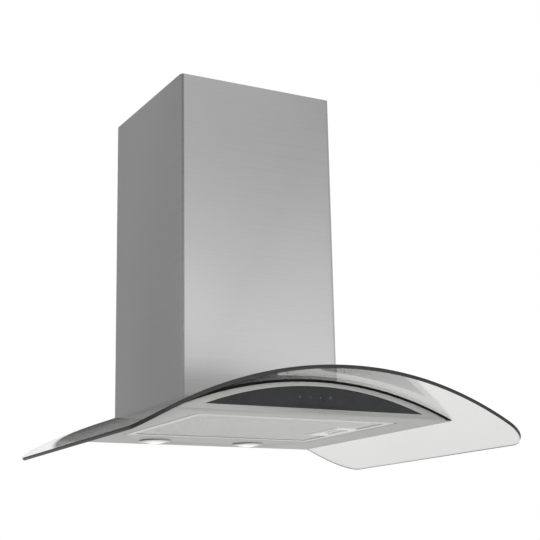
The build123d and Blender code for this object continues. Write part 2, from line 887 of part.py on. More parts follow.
with BuildPart() as electronics_lid:
    extrude(
        plan_rectangle(
            above(electronics_low),
            electronics_width / 2,
            electronics_front + contact + electronics_wall,
            electronics_front + contact,
        ),
        amount=electronics_height,
    )
    extrude(
        plan_rectangle(
            above(electronics_low + electronics_wall) + fit,
            electronics_width / 2 - electronics_wall - fit,
            electronics_front + contact,
            electronics_front - electronics_wall,
        ),
        amount=electronics_height - 2 * electronics_wall - 2 * fit,
    )

board_margin = 10.0
board_span = electronics_width - 4 * board_margin
board_rise = electronics_height - 4 * board_margin
standoff_radius = 3.0
with BuildPart() as power_board:
    extrude(
        plan_rectangle(
            above(electronics_low + board_margin),
            electronics_width / 2 - board_margin,
            electronics_back + 3 * electronics_wall + board_thickness,
            electronics_back + 3 * electronics_wall,
        ),
        amount=electronics_height - 2 * board_margin,
    )
    with BuildSketch(Plane.XZ.offset(electronics_back + electronics_wall + contact)):
        with Locations((0, above(electronics_low + electronics_height / 2))):
            with GridLocations(board_span, board_rise, 2, 2):
                Circle(standoff_radius)
    extrude(amount=2 * electronics_wall)

with BuildPart() as cable_gland:
    with BuildSketch(Plane.XY.offset(above(electronics_top) + contact)):
        with Locations((gland_offset, -gland_from_wall)):
            RegularPolygon(gland_radius, 6)
    extrude(amount=gland_length / 3)
    with BuildSketch(Plane.XY.offset(above(electronics_top - electronics_wall) - 1.0)):
        with Locations((gland_offset, -gland_from_wall)):
            Circle(gland_neck)
    extrude(amount=gland_length)
    with Locations((gland_offset, -gland_from_wall, above(electronics_top + gland_length))):
        Hole(gland_bore, 2 * gland_length)


# ---- lower chimney cover, standing on the glass -------------------------------------------------
def cover_plan(level, half_width, front, rear, bend):
    """Folded cover seen from above: three sides and a return at the wall."""
    with BuildSketch(Plane.XY.offset(level)) as plan:
        with Locations((0, -(front + rear) / 2)):
            Rectangle(2 * half_width, front - rear)
        fillet(plan.vertices().group_by(Axis.Y)[0], bend)
        offset(amount=-chimney_sheet, mode=Mode.SUBTRACT)
        with Locations((0, -rear)):
            Rectangle(2 * (half_width - chimney_flange), 4 * chimney_sheet, mode=Mode.SUBTRACT)
    return plan.sketch


foot_gap = 0.3  # thin lip of sealant between cover and glass
lower_half = chimney_width / 2
bracket_sheet = 1.2
lower_bracket_face = chimney_sheet + contact + bracket_sheet
lower_bracket_level = 80.0
lower_seats = [
    facing(x, -lower_bracket_face, above(lower_bracket_level + bracket_height / 2), (0, -1, 0))
    for x in (-lower_half + chimney_flange / 2, lower_half - chimney_flange / 2)
]
with BuildPart() as lower_chimney:
    extrude(
        cover_plan(underside, lower_half, chimney_depth, 0.0, chimney_bend), amount=chimney_top
    )
    extrude(
        arch_segment(glass_radius + foot_gap, arch_axis), amount=glass_depth, mode=Mode.SUBTRACT
    )
    drill(lower_seats, 4.0)

with BuildPart() as lower_chimney_brackets:
    leg_inner = back_half + contact
    extrude(
        plan_rectangle(
            above(lower_bracket_level),
            lower_half - chimney_sheet - fit,
            lower_bracket_face,
            chimney_sheet + contact,
        ),
        amount=bracket_height,
    )
    extrude(
        plan_rectangle(
            above(lower_bracket_level),
            leg_inner + bracket_sheet,
            lower_bracket_face + chimney_flange,
            chimney_sheet + contact,
        ),
        amount=bracket_height,
    )
    extrude(
        plan_rectangle(above(lower_bracket_level), leg_inner, chimney_depth),
        amount=bracket_height,
        mode=Mode.SUBTRACT,
    )
    drill(lower_seats, 4.0)

lower_bracket_screws = screws(lower_seats, bracket_sheet + chimney_sheet)

# ---- upper chimney cover, telescoped inside the lower one ----------------------------------------
shrink = chimney_sheet + slide_clearance
upper_half = lower_half - shrink
upper_bend = chimney_bend - shrink
upper_front = chimney_depth - shrink
upper_top = chimney_top - upper_inset
upper_flange_back = shrink
upper_flange_front = shrink + chimney_sheet
upper_bracket_back = upper_flange_front + contact
upper_bracket_face = upper_bracket_back + plate_thickness
upper_bracket_level = upper_top - bracket_drop - bracket_height
upper_seats = [
    facing(x, -upper_bracket_face, above(upper_bracket_level + bracket_height / 2), (0, -1, 0))
    for x in (-upper_half + chimney_flange / 2, upper_half - chimney_flange / 2)
]
with BuildPart() as upper_chimney:
    extrude(
        cover_plan(above(upper_bottom), upper_half, upper_front, upper_flange_back, upper_bend),
        amount=upper_top - upper_bottom,
    )
    with BuildSketch(Plane.YZ.offset(-chimney_width / 2)):
        vent_level = upper_top - vent_rows * vent_pitch / 2 - vent_pitch
        with Locations((-chimney_depth / 2, above(vent_level))):
            with GridLocations(vent_column_pitch, vent_pitch, vent_columns, vent_rows):
                Rectangle(vent_length, vent_height)
    extrude(amount=chimney_width, mode=Mode.SUBTRACT)
    drill(upper_seats, 4.0)

joggle = 12.0
with BuildPart() as upper_chimney_bracket:
    with BuildSketch(Plane.XY.offset(above(upper_bracket_level))):
        with BuildLine():
            inner_end = upper_half - chimney_flange - joggle
            outer_end = upper_half - chimney_sheet - fit
            Polyline(
                (-outer_end, -upper_bracket_back),
                (-inner_end - joggle / 2, -upper_bracket_back),
                (-inner_end, 0),
                (inner_end, 0),
                (inner_end + joggle / 2, -upper_bracket_back),
                (outer_end, -upper_bracket_back),
            )
            offset(amount=-plate_thickness, side=Side.RIGHT)
        make_face()
    extrude(amount=bracket_height)
    with BuildSketch(Plane.XZ):
        with Locations((0, above(upper_bracket_level + bracket_height / 2))):
            with GridLocations(bracket_slot_spacing, 0, 2, 1):
                SlotOverall(bracket_slot, bracket_slot_width)
    extrude(amount=2 * plate_thickness, mode=Mode.SUBTRACT)
    drill(upper_seats, 4.0)

upper_bracket_screws = screws(upper_seats, plate_thickness + chimney_sheet + contact)


# ---- lamps: bezel, domed lens and finned body -----------------------------------------------------
def turned(points_by_height, x):
    """Body of revolution about the vertical axis of a lamp, from an open half outline."""
    axis_line = Axis((x, -lamp_from_wall, 0), (0, 0, 1))
    with BuildPart() as body:
        with BuildSketch(Plane.XZ.offset(lamp_from_wall)):
            with BuildLine():
                Polyline([(x + r, above(h)) for r, h in points_by_height], close=True)
            make_face()
        revolve(axis=axis_line)
    return body


sleeve_outer = lamp_hole / 2 - contact
sleeve_inner = sleeve_outer - 1.6
bezel_depth = 1.5
sleeve_top = 9.0
lens_radius = sleeve_inner - contact
fin_radius = sleeve_outer
bezel_outline = [
    (sleeve_inner, -bezel_depth),
    (lamp_bezel / 2 - 1.0, -bezel_depth),
    (lamp_bezel / 2, -contact),
    (sleeve_outer, -contact),
    (sleeve_outer, sleeve_top),
    (sleeve_inner, sleeve_top),
]
fin_pitch = (lamp_height - sleeve_top) / fin_count
lamp_outline = [(0.0, 1.6), (lens_radius, 1.6)]
for index in range(fin_count):
    foot = sleeve_top + contact + index * fin_pitch
    lamp_outline += [(lens_radius, foot), (fin_radius, foot), (fin_radius, foot + fin_pitch / 2)]
    lamp_outline += [(lens_radius, foot + fin_pitch / 2)]
lamp_outline += [(lens_radius, lamp_height), (0.0, lamp_height)]


def lamp_lens(x):
    """Domed glass that closes the lamp from below."""
    axis_line = Axis((x, -lamp_from_wall, 0), (0, 0, 1))
    with BuildPart() as lens:
        with BuildSketch(Plane.XZ.offset(lamp_from_wall)):
            with BuildLine():
                rim = (x + lens_radius, above(-bezel_depth))
                dome = (x, above(-bezel_depth - lamp_bulge))
                Polyline(dome, (x, above(1.5)), (x + lens_radius, above(1.5)), rim)
                TangentArc(dome, rim, tangent=(1, 0))
            make_face()
        revolve(axis=axis_line)
    return lens


left_lamp_bezel = turned(bezel_outline, -lamp_spacing / 2)
right_lamp_bezel = turned(bezel_outline, lamp_spacing / 2)
left_lamp_body = turned(lamp_outline, -lamp_spacing / 2)
right_lamp_body = turned(lamp_outline, lamp_spacing / 2)
left_lamp_lens = lamp_lens(-lamp_spacing / 2)
right_lamp_lens = lamp_lens(lamp_spacing / 2)

driver_half = 30.0
driver_front = 90.0
driver_rear = 18.0
driver_height = 18.0
with BuildPart() as lamp_driver:
    extrude(
        plan_rectangle(panel_top + contact, driver_half, driver_front, driver_rear),
        amount=driver_height,
    )
    fillet(lamp_driver.edges().filter_by(Axis.Z), 3.0)

# ---- grease filter: channel frame, three layers, tabs on the left ----------------------------------
filter_half = filter_length / 2
frame_front = filter_front - filter_gap
frame_rear = filter_rear + filter_gap
latch_inner = filter_half - filter_rail - latch_width
layer_half = filter_half - filter_sheet - contact
layer_front = frame_front - filter_sheet - contact
layer_rear = frame_rear + filter_sheet + contact
with BuildPart() as filter_frame:
    extrude(
        plan_rectangle(underside, filter_half, frame_front, frame_rear, filter_corner),
        amount=filter_height,
    )
    extrude(
        plan_rectangle(
            above(filter_sheet),
            filter_half - filter_sheet,
            frame_front - filter_sheet,
            frame_rear + filter_sheet,
            filter_corner - filter_sheet,
        ),
        amount=filter_height - 2 * filter_sheet,
        mode=Mode.SUBTRACT,
    )
    extrude(
        plan_rectangle(
            underside,
            filter_half - filter_rail,
            frame_front - filter_rail,
            frame_rear + filter_rail,
        ),
        amount=filter_height,
        mode=Mode.SUBTRACT,
    )
    with BuildSketch(Plane.YZ.offset(filter_half - 2 * filter_sheet)):
        with Locations((-filter_middle, above(bolt_level))):
            Rectangle(bolt_width + 2 * fit, bolt_height + 2 * fit)
    extrude(amount=3 * filter_sheet, mode=Mode.SUBTRACT)


def latch_cutout():
    """Room for the latch at the middle of the right edge."""
    with BuildSketch(Plane.XY.offset(underside)) as cutout:
        with Locations((latch_inner - contact, -filter_middle)):
            Rectangle(filter_length, latch_length + 2 * contact, align=(Align.MIN, Align.CENTER))
    return cutout.sketch


def filter_layer(low):
    """Flat layer of expanded mesh, cut out round the latch."""
    with BuildPart() as layer:
        extrude(
            plan_rectangle(
                above(low), layer_half, layer_front, layer_rear, filter_corner - filter_sheet
            ),
            amount=mesh_thickness,
        )
        extrude(latch_cutout(), amount=filter_height, mode=Mode.SUBTRACT)
    return layer


mesh_thickness = 1.0
pleat_sheet = 0.8
pleat_pitch = 11.0
layer_low = filter_sheet + contact
layer_high = filter_height - filter_sheet - contact
pleat_low = above(layer_low + mesh_thickness + contact)
pleat_high = above(layer_high - mesh_thickness - contact)
pleat_count = int(layer_half / pleat_pitch)
filter_lower_mesh = filter_layer(layer_low)
filter_upper_mesh = filter_layer(layer_high - mesh_thickness)
with BuildPart() as filter_core:
    with BuildSketch(Plane.XZ.offset(layer_rear + contact)):
        with BuildLine():
            crests = [
                ((index - pleat_count) * pleat_pitch, (pleat_low, pleat_high - pleat_sheet)[index % 2])
                for index in range(2 * pleat_count + 1)
            ]
            returns = [(x, z + pleat_sheet) for x, z in reversed(crests)]
            Polyline(crests + returns, close=True)
        make_face()
    extrude(amount=layer_front - layer_rear - 2 * contact)
    extrude(latch_cutout(), amount=filter_height, mode=Mode.SUBTRACT)

tab_gauge = 1.0
tab_lift = 0.4  # over the steel of the underside
with BuildPart() as filter_tabs:
    for middle in (filter_middle - tab_spacing / 2, filter_middle + tab_spacing / 2):
        for span, height in (
            (opening_half + tab_reach, tab_thickness),
            (filter_half + contact + tab_gauge, filter_height - 2 * tab_thickness),
        ):
            extrude(
                plan_rectangle(
                    panel_top + tab_lift, span, middle + tab_width / 2, middle - tab_width / 2
                ),
                amount=height,
            )
    extrude(
        plan_rectangle(underside, filter_half + contact, filter_front, filter_rear),
        amount=glass_crown,
        mode=Mode.SUBTRACT,
    )
    split(bisect_by=Plane.YZ, keep=Keep.BOTTOM)

# ---- filter latch: cup with finger pocket and the sliding bolt --------------------------------
latch_outer = filter_half - filter_rail - contact
pocket_inner = latch_inner + 3.0
pocket_outer = pocket_inner + latch_pocket_width
finger_tab = 4.0
tab_back = pocket_inner + 16.0
bolt_end = opening_half - bolt_setback
bolt_low = bolt_level - bolt_height / 2
with BuildPart() as latch_housing:
    with BuildSketch(Plane.XY.offset(underside)):
        with Locations((latch_inner, -filter_middle)):
            Rectangle(latch_outer - latch_inner, latch_length, align=(Align.MIN, Align.CENTER))
    extrude(amount=filter_height)
    with BuildSketch(Plane.XY.offset(above(layer_low))):
        with Locations((latch_inner, -filter_middle)):
            Rectangle(layer_half - latch_inner, latch_length, align=(Align.MIN, Align.CENTER))
    extrude(amount=layer_high - layer_low)
    with BuildSketch(Plane.XY.offset(underside)) as pocket:
        with Locations((pocket_inner, -filter_middle)):
            Rectangle(latch_pocket_width, latch_pocket_length, align=(Align.MIN, Align.CENTER))
        fillet(pocket.vertices(), 3.0)
    extrude(amount=latch_pocket_height, mode=Mode.SUBTRACT)
    with BuildSketch(Plane.YZ.offset(pocket_outer - 1.0)):
        with Locations((-filter_middle, above(bolt_level))):
            Rectangle(bolt_width + 2 * fit, bolt_height + 2 * fit)
    extrude(amount=filter_length, mode=Mode.SUBTRACT)

with BuildPart() as latch_slider:
    with BuildSketch(Plane.XY.offset(above(bolt_low))):
        with Locations((tab_back, -filter_middle)):
            Rectangle(bolt_end - tab_back, bolt_width, align=(Align.MIN, Align.CENTER))
    extrude(amount=bolt_height)
    with BuildSketch(Plane.XY.offset(above(1.0))):
        with Locations((tab_back, -filter_middle)):
            Rectangle(finger_tab, latch_pocket_length / 2, align=(Align.MIN, Align.CENTER))
    extrude(amount=bolt_low + bolt_height - 1.0)

# ---- one file for each piece ---------------------------------------------------------------------------
pieces = {
    "canopy_glass": canopy_glass,
    "glass_gasket": glass_gasket,
    "top_skin": top_skin,
    "underside_panel": underside_panel,
    "front_fascia": front_fascia,
    "rear_wall": rear_wall,
    "touch_panel": touch_panel,
    "panel_carrier": panel_carrier,
    "control_board": control_board,
    "touch_springs": touch_springs,
    "back_plate": back_plate,
    "blower_box": blower_box,
    "box_screws": box_screws,
    "skin_brackets": skin_brackets,
    "clamp_pads": clamp_pads,
    "glass_clamps": glass_clamps,
    "clamp_screws": clamp_screws,
    "scroll_right": scroll_right,
    "scroll_left": scroll_left,
    "impeller": impeller,
    "motor_shaft": motor_shaft,
    "motor_body": motor_body,
    "motor_bracket": motor_bracket,
    "motor_screws": motor_screws,
    "capacitor": capacitor,
    "outlet_spigot": outlet_spigot,
    "duct_collar": duct_collar,
    "spigot_screws": spigot_screws,
    "flap_pin": flap_pin,
    "front_flap": front_flap,
    "rear_flap": rear_flap,
    "electronics_box": electronics_box,
    "electronics_lid": electronics_lid,
    "power_board": power_board,
    "cable_gland": cable_gland,
    "lower_chimney": lower_chimney,
    "lower_chimney_brackets": lower_chimney_brackets,
    "lower_bracket_screws": lower_bracket_screws,
    "upper_chimney": upper_chimney,
    "upper_chimney_bracket": upper_chimney_bracket,
    "upper_bracket_screws": upper_bracket_screws,
    "left_lamp_bezel": left_lamp_bezel,
    "left_lamp_lens": left_lamp_lens,
    "left_lamp_body": left_lamp_body,
    "right_lamp_bezel": right_lamp_bezel,
    "right_lamp_lens": right_lamp_lens,
    "right_lamp_body": right_lamp_body,
    "lamp_driver": lamp_driver,
    "filter_frame": filter_frame,
    "filter_lower_mesh": filter_lower_mesh,
    "filter_core": filter_core,
    "filter_upper_mesh": filter_upper_mesh,
    "filter_tabs": filter_tabs,
    "latch_housing": latch_housing,
    "latch_slider": latch_slider,
}
for name, piece in pieces.items():
    piece.part.label = name
    export_step(piece.part, f"parts/{name}.step")
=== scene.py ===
import json
import math
import bmesh
import bpy
from mathutils import Matrix, Vector


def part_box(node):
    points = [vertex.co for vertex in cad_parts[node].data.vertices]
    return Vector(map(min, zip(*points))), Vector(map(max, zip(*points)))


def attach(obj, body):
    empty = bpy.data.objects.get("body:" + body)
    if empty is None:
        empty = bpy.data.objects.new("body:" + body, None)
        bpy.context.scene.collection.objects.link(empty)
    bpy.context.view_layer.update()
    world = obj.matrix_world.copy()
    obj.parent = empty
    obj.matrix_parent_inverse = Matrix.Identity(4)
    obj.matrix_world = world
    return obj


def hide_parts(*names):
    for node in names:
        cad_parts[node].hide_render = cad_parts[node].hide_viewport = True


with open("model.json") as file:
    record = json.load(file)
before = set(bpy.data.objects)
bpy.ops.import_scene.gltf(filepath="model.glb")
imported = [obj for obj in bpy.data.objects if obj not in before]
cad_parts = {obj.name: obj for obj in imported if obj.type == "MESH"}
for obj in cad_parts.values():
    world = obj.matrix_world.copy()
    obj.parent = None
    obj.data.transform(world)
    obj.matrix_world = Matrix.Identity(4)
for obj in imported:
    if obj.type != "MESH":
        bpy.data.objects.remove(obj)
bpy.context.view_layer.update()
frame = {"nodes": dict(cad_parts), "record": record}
nodes = frame["nodes"]
nodeBody = {node: body for body, members in frame["record"]["behaviour"]["bodies"].items() for node in members}
nodeSlot = {part["node"]: part["material_slot"] for part in frame["record"]["subparts"]}
print("frame loaded:", len(nodes), "nodes")


# small helpers
def toLinear(hexColour):
    values = [int(hexColour[i:i + 2], 16) / 255 for i in (1, 3, 5)]
    return tuple(v / 12.92 if v <= 0.04045 else ((v + 0.055) / 1.055) ** 2.4 for v in values) + (1.0,)


def colourStops(*pairs):  # stops of a ramp, from places and hex colours
    return [(spot, toLinear(colour)) for spot, colour in pairs]


def greyStops(tones):  # the same, from places and brightness
    return [(spot, (tone, tone, tone, 1.0)) for spot, tone in tones]


def addNode(tree, kind, inputs=None, stops=None, **settings):  # an input is a value or the socket it comes from
    node = tree.nodes.new(kind)
    for name, value in settings.items():
        setattr(node, name, value)
    for number, (spot, colour) in enumerate(stops or []):
        elements = node.color_ramp.elements
        element = elements[number] if number < len(elements) else elements.new(spot)
        element.position, element.color = spot, colour
    for key, value in (inputs or {}).items():
        if isinstance(value, bpy.types.NodeSocket):
            tree.links.new(value, node.inputs[key])
        else:
            node.inputs[key].default_value = value
    return node


def startMaterial(name):  # the third result is the place on the object, which every finish here goes by
    material = bpy.data.materials.new(name)
    material.use_nodes = True
    tree = material.node_tree
    tree.nodes.clear()
    return material, tree, addNode(tree, "ShaderNodeTexCoord").outputs["Object"]


def finishMaterial(material, shader):
    addNode(material.node_tree, "ShaderNodeOutputMaterial", {"Surface": shader.outputs[0]})
    return material


def addObject(name, data):
    made = bpy.data.objects.new(name, data)
    bpy.context.scene.collection.objects.link(made)
    return made


# camera: fitted to the edges of the photograph, level with the wall and looking up from below
cameraSet = {
    "place": (-0.8626, -1.8677, -0.4545),
    "yaw": 28.70,  # degrees to the right of straight at the wall
    "pitch": 14.02,  # degrees upwards
    "roll": -1.15,
    "focalPixels": 1229.0,
    "pictureWidth": 540,
    "sensor": 36.0,
    "clip": (0.05, 60),
}


def placeCamera(given):
    yaw, pitch, roll = (math.radians(given[k]) for k in ("yaw", "pitch", "roll"))
    forward = Vector((math.sin(yaw) * math.cos(pitch), math.cos(yaw) * math.cos(pitch), math.sin(pitch)))
    right = Vector((math.cos(yaw), -math.sin(yaw), 0))
    up = right.cross(forward)
    turnedRight = math.cos(roll) * right + math.sin(roll) * up
    turnedUp = -math.sin(roll) * right + math.cos(roll) * up
    data = bpy.data.cameras.new("photoCamera")
    data.sensor_width = given["sensor"]
    data.lens = given["focalPixels"] * given["sensor"] / given["pictureWidth"]
    data.clip_start, data.clip_end = given["clip"]
    camera = addObject("photoCamera", data)
    turn = Matrix((turnedRight, turnedUp, -forward)).transposed().to_4x4()
    camera.matrix_world = Matrix.Translation(given["place"]) @ turn
    bpy.context.scene.camera = camera
    bpy.context.scene.view_settings.view_transform = "Standard"


placeCamera(cameraSet)
print("camera placed")

# studio: white surroundings, darker to the left so that the folded steel shows its edges
studioSet = {
    "ambient": 0.62,  # what matt surfaces get from all round
    "sideTones": [  # brightness that steel mirrors, left to right
        (0.0, 0.32), (0.12, 0.34), (0.26, 0.31), (0.35, 0.21), (0.41, 0.26),
        (0.49, 0.72), (0.60, 1.0), (0.70, 1.0), (0.79, 0.58), (1.0, 0.50)],
    "highTone": 0.60,  # and how it falls off upwards in front
    "highSpan": (0.05, 0.5),  # z of the way out, from where to where it falls off
    "frontSpan": (-0.3, 0.3),  # y of the way out, from in front to behind
    "backTone": 0.095,  # the wall above the hood, which the glass mirrors at a slant
    "backSpan": (0.5, 0.75),  # y of the way towards that wall
    "riseSpan": (0.0, 0.08),  # and its z
    "slantSpan": (0.469, 0.475),  # and its x + z: the wall starts at a slanting edge
    "floorLevel": -1.9,
    "floorHalf": 14.0,
    "floorColour": "#F4F4F3",
    "floorGlow": 0.75,  # share of plain white in the floor, where it is seen straight or through glass
    "fadeSpan": (2.5, 9.0),  # distance over which that share grows to all of it, so that no edge shows far off
    "floorTones": [(0.0, 0.30), (0.12, 0.32), (0.42, 0.92), (0.60, 0.96), (1.0, 0.96)],  # what steel mirrors of it
    "floorSpan": (-4.0, 9.0),  # x from where to where these tones lie
}


def makeWorld(given):
    world = bpy.data.worlds.new("softStudio")
    bpy.context.scene.world = world
    world.use_nodes = True
    tree = world.node_tree
    tree.nodes.clear()
    place = addNode(tree, "ShaderNodeTexCoord")
    way = addNode(tree, "ShaderNodeSeparateXYZ", {"Vector": place.outputs["Generated"]})
    # open studio: tones from left to right, falling off upwards in front
    fromLeft = addNode(tree, "ShaderNodeMapRange", {"Value": way.outputs["X"], "From Min": -1.0, "From Max": 1.0})
    across = addNode(tree, "ShaderNodeValToRGB", {"Fac": fromLeft.outputs[0]}, stops=greyStops(given["sideTones"]))
    upwards = addNode(tree, "ShaderNodeMapRange", {
        "Value": way.outputs["Z"], "From Min": given["highSpan"][0], "From Max": given["highSpan"][1],
        "To Min": 1.0, "To Max": given["highTone"]})
    inFront = addNode(tree, "ShaderNodeMapRange", {
        "Value": way.outputs["Y"], "From Min": given["frontSpan"][0], "From Max": given["frontSpan"][1],
        "To Min": 1.0, "To Max": 0.0})
    fall = addNode(tree, "ShaderNodeMix", {"Factor": inFront.outputs[0], "A": 1.0, "B": upwards.outputs[0]})
    tone = addNode(tree, "ShaderNodeMath", {0: across.outputs[0], 1: fall.outputs[0]}, operation="MULTIPLY")
    # dark wall: behind, above and right of a slanting edge
    slant = addNode(tree, "ShaderNodeMath", {0: way.outputs["X"], 1: way.outputs["Z"]}, operation="ADD")
    limits = {"backSpan": way.outputs["Y"], "riseSpan": way.outputs["Z"], "slantSpan": slant.outputs[0]}
    behind, above, beside = (
        addNode(tree, "ShaderNodeMapRange", {"Value": value, "From Min": given[span][0], "From Max": given[span][1]})
        for span, value in limits.items())
    high = addNode(tree, "ShaderNodeMath", {0: behind.outputs[0], 1: above.outputs[0]}, operation="MULTIPLY")
    wall = addNode(tree, "ShaderNodeMath", {0: high.outputs[0], 1: beside.outputs[0]}, operation="MULTIPLY")
    mirrored = addNode(tree, "ShaderNodeMix", {
        "Factor": wall.outputs[0], "A": tone.outputs[0], "B": given["backTone"]})
    # steel mirrors the tones, matt surfaces get the ambient, and seen straight or through glass all is white
    rays = addNode(tree, "ShaderNodeLightPath")
    straight = addNode(tree, "ShaderNodeMath", {
        0: rays.outputs["Is Camera Ray"], 1: rays.outputs["Is Transmission Ray"]}, operation="MAXIMUM")
    lit = addNode(tree, "ShaderNodeMix", {
        "Factor": rays.outputs["Is Glossy Ray"], "A": given["ambient"], "B": mirrored.outputs[0]})
    seen = addNode(tree, "ShaderNodeMix", {"Factor": straight.outputs[0], "A": lit.outputs[0], "B": 1.0})
    back = addNode(tree, "ShaderNodeBackground", {"Color": (1, 1, 1, 1), "Strength": seen.outputs[0]})
    addNode(tree, "ShaderNodeOutputWorld", {"Surface": back.outputs[0]})


def makeFloor(given):
    half = given["floorHalf"]
    mesh = bpy.data.meshes.new("studioFloor")
    corners = [(x, y, given["floorLevel"]) for x, y in ((-half, -half), (half, -half), (half, half), (-half, half))]
    mesh.from_pydata(corners, [], [(0, 1, 2, 3)])
    floor = addObject("studioFloor", mesh)
    material, tree, spot = startMaterial("paleStudioFloor")
    paint = addNode(tree, "ShaderNodeBsdfDiffuse", {"Color": toLinear(given["floorColour"])})
    rays = addNode(tree, "ShaderNodeLightPath")
    straight = addNode(tree, "ShaderNodeMath", {
        0: rays.outputs["Is Camera Ray"], 1: rays.outputs["Is Transmission Ray"]}, operation="MAXIMUM")
    reach = addNode(tree, "ShaderNodeVectorMath", {0: spot}, operation="LENGTH")
    fade = addNode(tree, "ShaderNodeMapRange", {
        "Value": reach.outputs["Value"], "From Min": given["fadeSpan"][0], "From Max": given["fadeSpan"][1],
        "To Min": given["floorGlow"], "To Max": 1.0})
    seen = addNode(tree, "ShaderNodeMath", {0: straight.outputs[0], 1: fade.outputs[0]}, operation="MULTIPLY")
    share = addNode(tree, "ShaderNodeMath", {
        0: seen.outputs[0], 1: rays.outputs["Is Glossy Ray"]}, operation="MAXIMUM")
    split = addNode(tree, "ShaderNodeSeparateXYZ", {"Vector": spot})
    fromLeft = addNode(tree, "ShaderNodeMapRange", {
        "Value": split.outputs["X"], "From Min": given["floorSpan"][0], "From Max": given["floorSpan"][1]})
    across = addNode(tree, "ShaderNodeValToRGB", {"Fac": fromLeft.outputs[0]}, stops=greyStops(given["floorTones"]))
    strength = addNode(tree, "ShaderNodeMix", {
        "Factor": rays.outputs["Is Glossy Ray"], "A": 1.0, "B": across.outputs[0]})
    glow = addNode(tree, "ShaderNodeEmission", {"Color": (1, 1, 1, 1), "Strength": strength.outputs[0]})
    both = addNode(tree, "ShaderNodeMixShader", {0: share.outputs[0], 1: paint.outputs[0], 2: glow.outputs[0]})
    mesh.materials.append(finishMaterial(material, both))


lampSet = {  # name: place, what it looks at, side in metres, watts
    "frontSoftbox": ((-1.3, -3.0, 1.4), (0, -0.2, 0.0), 2.4, 34),
    "rightSoftbox": ((2.8, -1.2, 0.5), (0, -0.2, 0.0), 2.0, 20),
    "lowSoftbox": ((0.2, -2.0, -1.6), (0, -0.2, -0.2), 2.4, 22),
}


def makeLamps(given):
    for name, (place, target, side, watts) in given.items():
        data = bpy.data.lights.new(name, "AREA")
        data.shape, data.size, data.energy = "SQUARE", side, watts
        lamp = addObject(name, data)
        lamp.location = place
        lamp.rotation_euler = (Vector(target) - Vector(place)).to_track_quat("-Z", "Y").to_euler()
        lamp.visible_glossy = False  # the steel shows the even surroundings, not the lamps
        lamp.visible_transmission = False


makeWorld(studioSet)
makeFloor(studioSet)
makeLamps(lampSet)
print("studio lit")

# materials: one for each finish of the real hood
rampEnds = (0.3, 0.7)  # most of a noise lies between these
reliefDepth = 0.0002  # of a fine grain, in metres
fineDepth = 0.0001  # of a polished or frosted face

# stainless sheet, brushed with grit 180: scratches are about 0.1 mm wide, too fine to show, so streaks are
# drawn 1.4 mm apart
coverSteelSet = {
    "grain": (6.0, 6.0, 700.0),  # streaks for each metre along x, y and z
    "dark": "#DDDDDD", "light": "#E9E9E9", "rough": (0.30, 0.40), "bump": 0.10, "clouds": 5.0,
    "cloudShare": 0.3, "anisotropic": 0.5, "axis": "Z",
}
# the underside panel and the fascia are the same stainless sheet as the cover, painted darker: painted shade
shadedPanelSteelSet = {
    "grain": (6.0, 700.0, 700.0),
    "dark": "#A3A29F", "light": "#AFAEAB", "rough": (0.28, 0.38), "bump": 0.10, "clouds": 7.0,
    "cloudShare": 0.3, "anisotropic": 0.4, "axis": "X",
}
shadedFasciaSteelSet = {
    "grain": (6.0, 700.0, 700.0),
    "dark": "#B4B4B1", "light": "#CBCBC8", "rough": (0.26, 0.36), "bump": 0.10, "clouds": 7.0,
    "cloudShare": 0.3, "anisotropic": 0.4, "axis": "X",
}


def brushedSteel(name, given):
    material, tree, spot = startMaterial(name)
    stretched = addNode(tree, "ShaderNodeMapping", {"Vector": spot, "Scale": given["grain"]})
    streaks = addNode(tree, "ShaderNodeTexNoise", {
        "Vector": stretched.outputs[0], "Scale": 1.0, "Detail": 4.0, "Roughness": 0.62})
    cloud = addNode(tree, "ShaderNodeTexNoise", {"Vector": spot, "Scale": given["clouds"], "Detail": 2.0})
    both = addNode(tree, "ShaderNodeMix", {
        "Factor": given["cloudShare"], "A": streaks.outputs[0], "B": cloud.outputs[0]})
    tint = addNode(tree, "ShaderNodeValToRGB", {"Fac": both.outputs[0]},
                   stops=colourStops((rampEnds[0], given["dark"]), (rampEnds[1], given["light"])))
    rough = addNode(tree, "ShaderNodeMapRange", {
        "Value": streaks.outputs[0], "From Min": rampEnds[0], "From Max": rampEnds[1],
        "To Min": given["rough"][0], "To Max": given["rough"][1]})
    relief = addNode(tree, "ShaderNodeBump", {
        "Height": streaks.outputs[0], "Strength": given["bump"], "Distance": reliefDepth})
    around = addNode(tree, "ShaderNodeTangent", direction_type="RADIAL", axis=given["axis"])
    return finishMaterial(material, addNode(tree, "ShaderNodeBsdfPrincipled", {
        "Base Color": tint.outputs[0], "Metallic": 1.0, "Roughness": rough.outputs[0],
        "Anisotropic": given["anisotropic"], "Tangent": around.outputs[0], "Normal": relief.outputs[0]}))


coverSteel = brushedSteel("brushedStainlessCover", coverSteelSet)
# these two copies carry a painted shade: darker base tones than the cover's
shadedPanelSteel = brushedSteel("brushedStainlessUnderside", shadedPanelSteelSet)
shadedFasciaSteel = brushedSteel("brushedStainlessFascia", shadedFasciaSteelSet)

glassSet = {"dark": "#DEDEDC", "light": "#E1E1DF", "ior": 1.52, "waves": 9.0, "bump": 0.01}
glassEdgeSet = {
    # near black: partly the long path of light through the sheet, partly painted shade
    "dark": "#232523", "light": "#3A3D3B", "ramp": (0.25, 0.8), "ior": 1.52, "rough": 0.32,
    "grit": 900.0,  # grinding marks, 1 mm
    "bump": 0.15, "clear": 0.25,
}


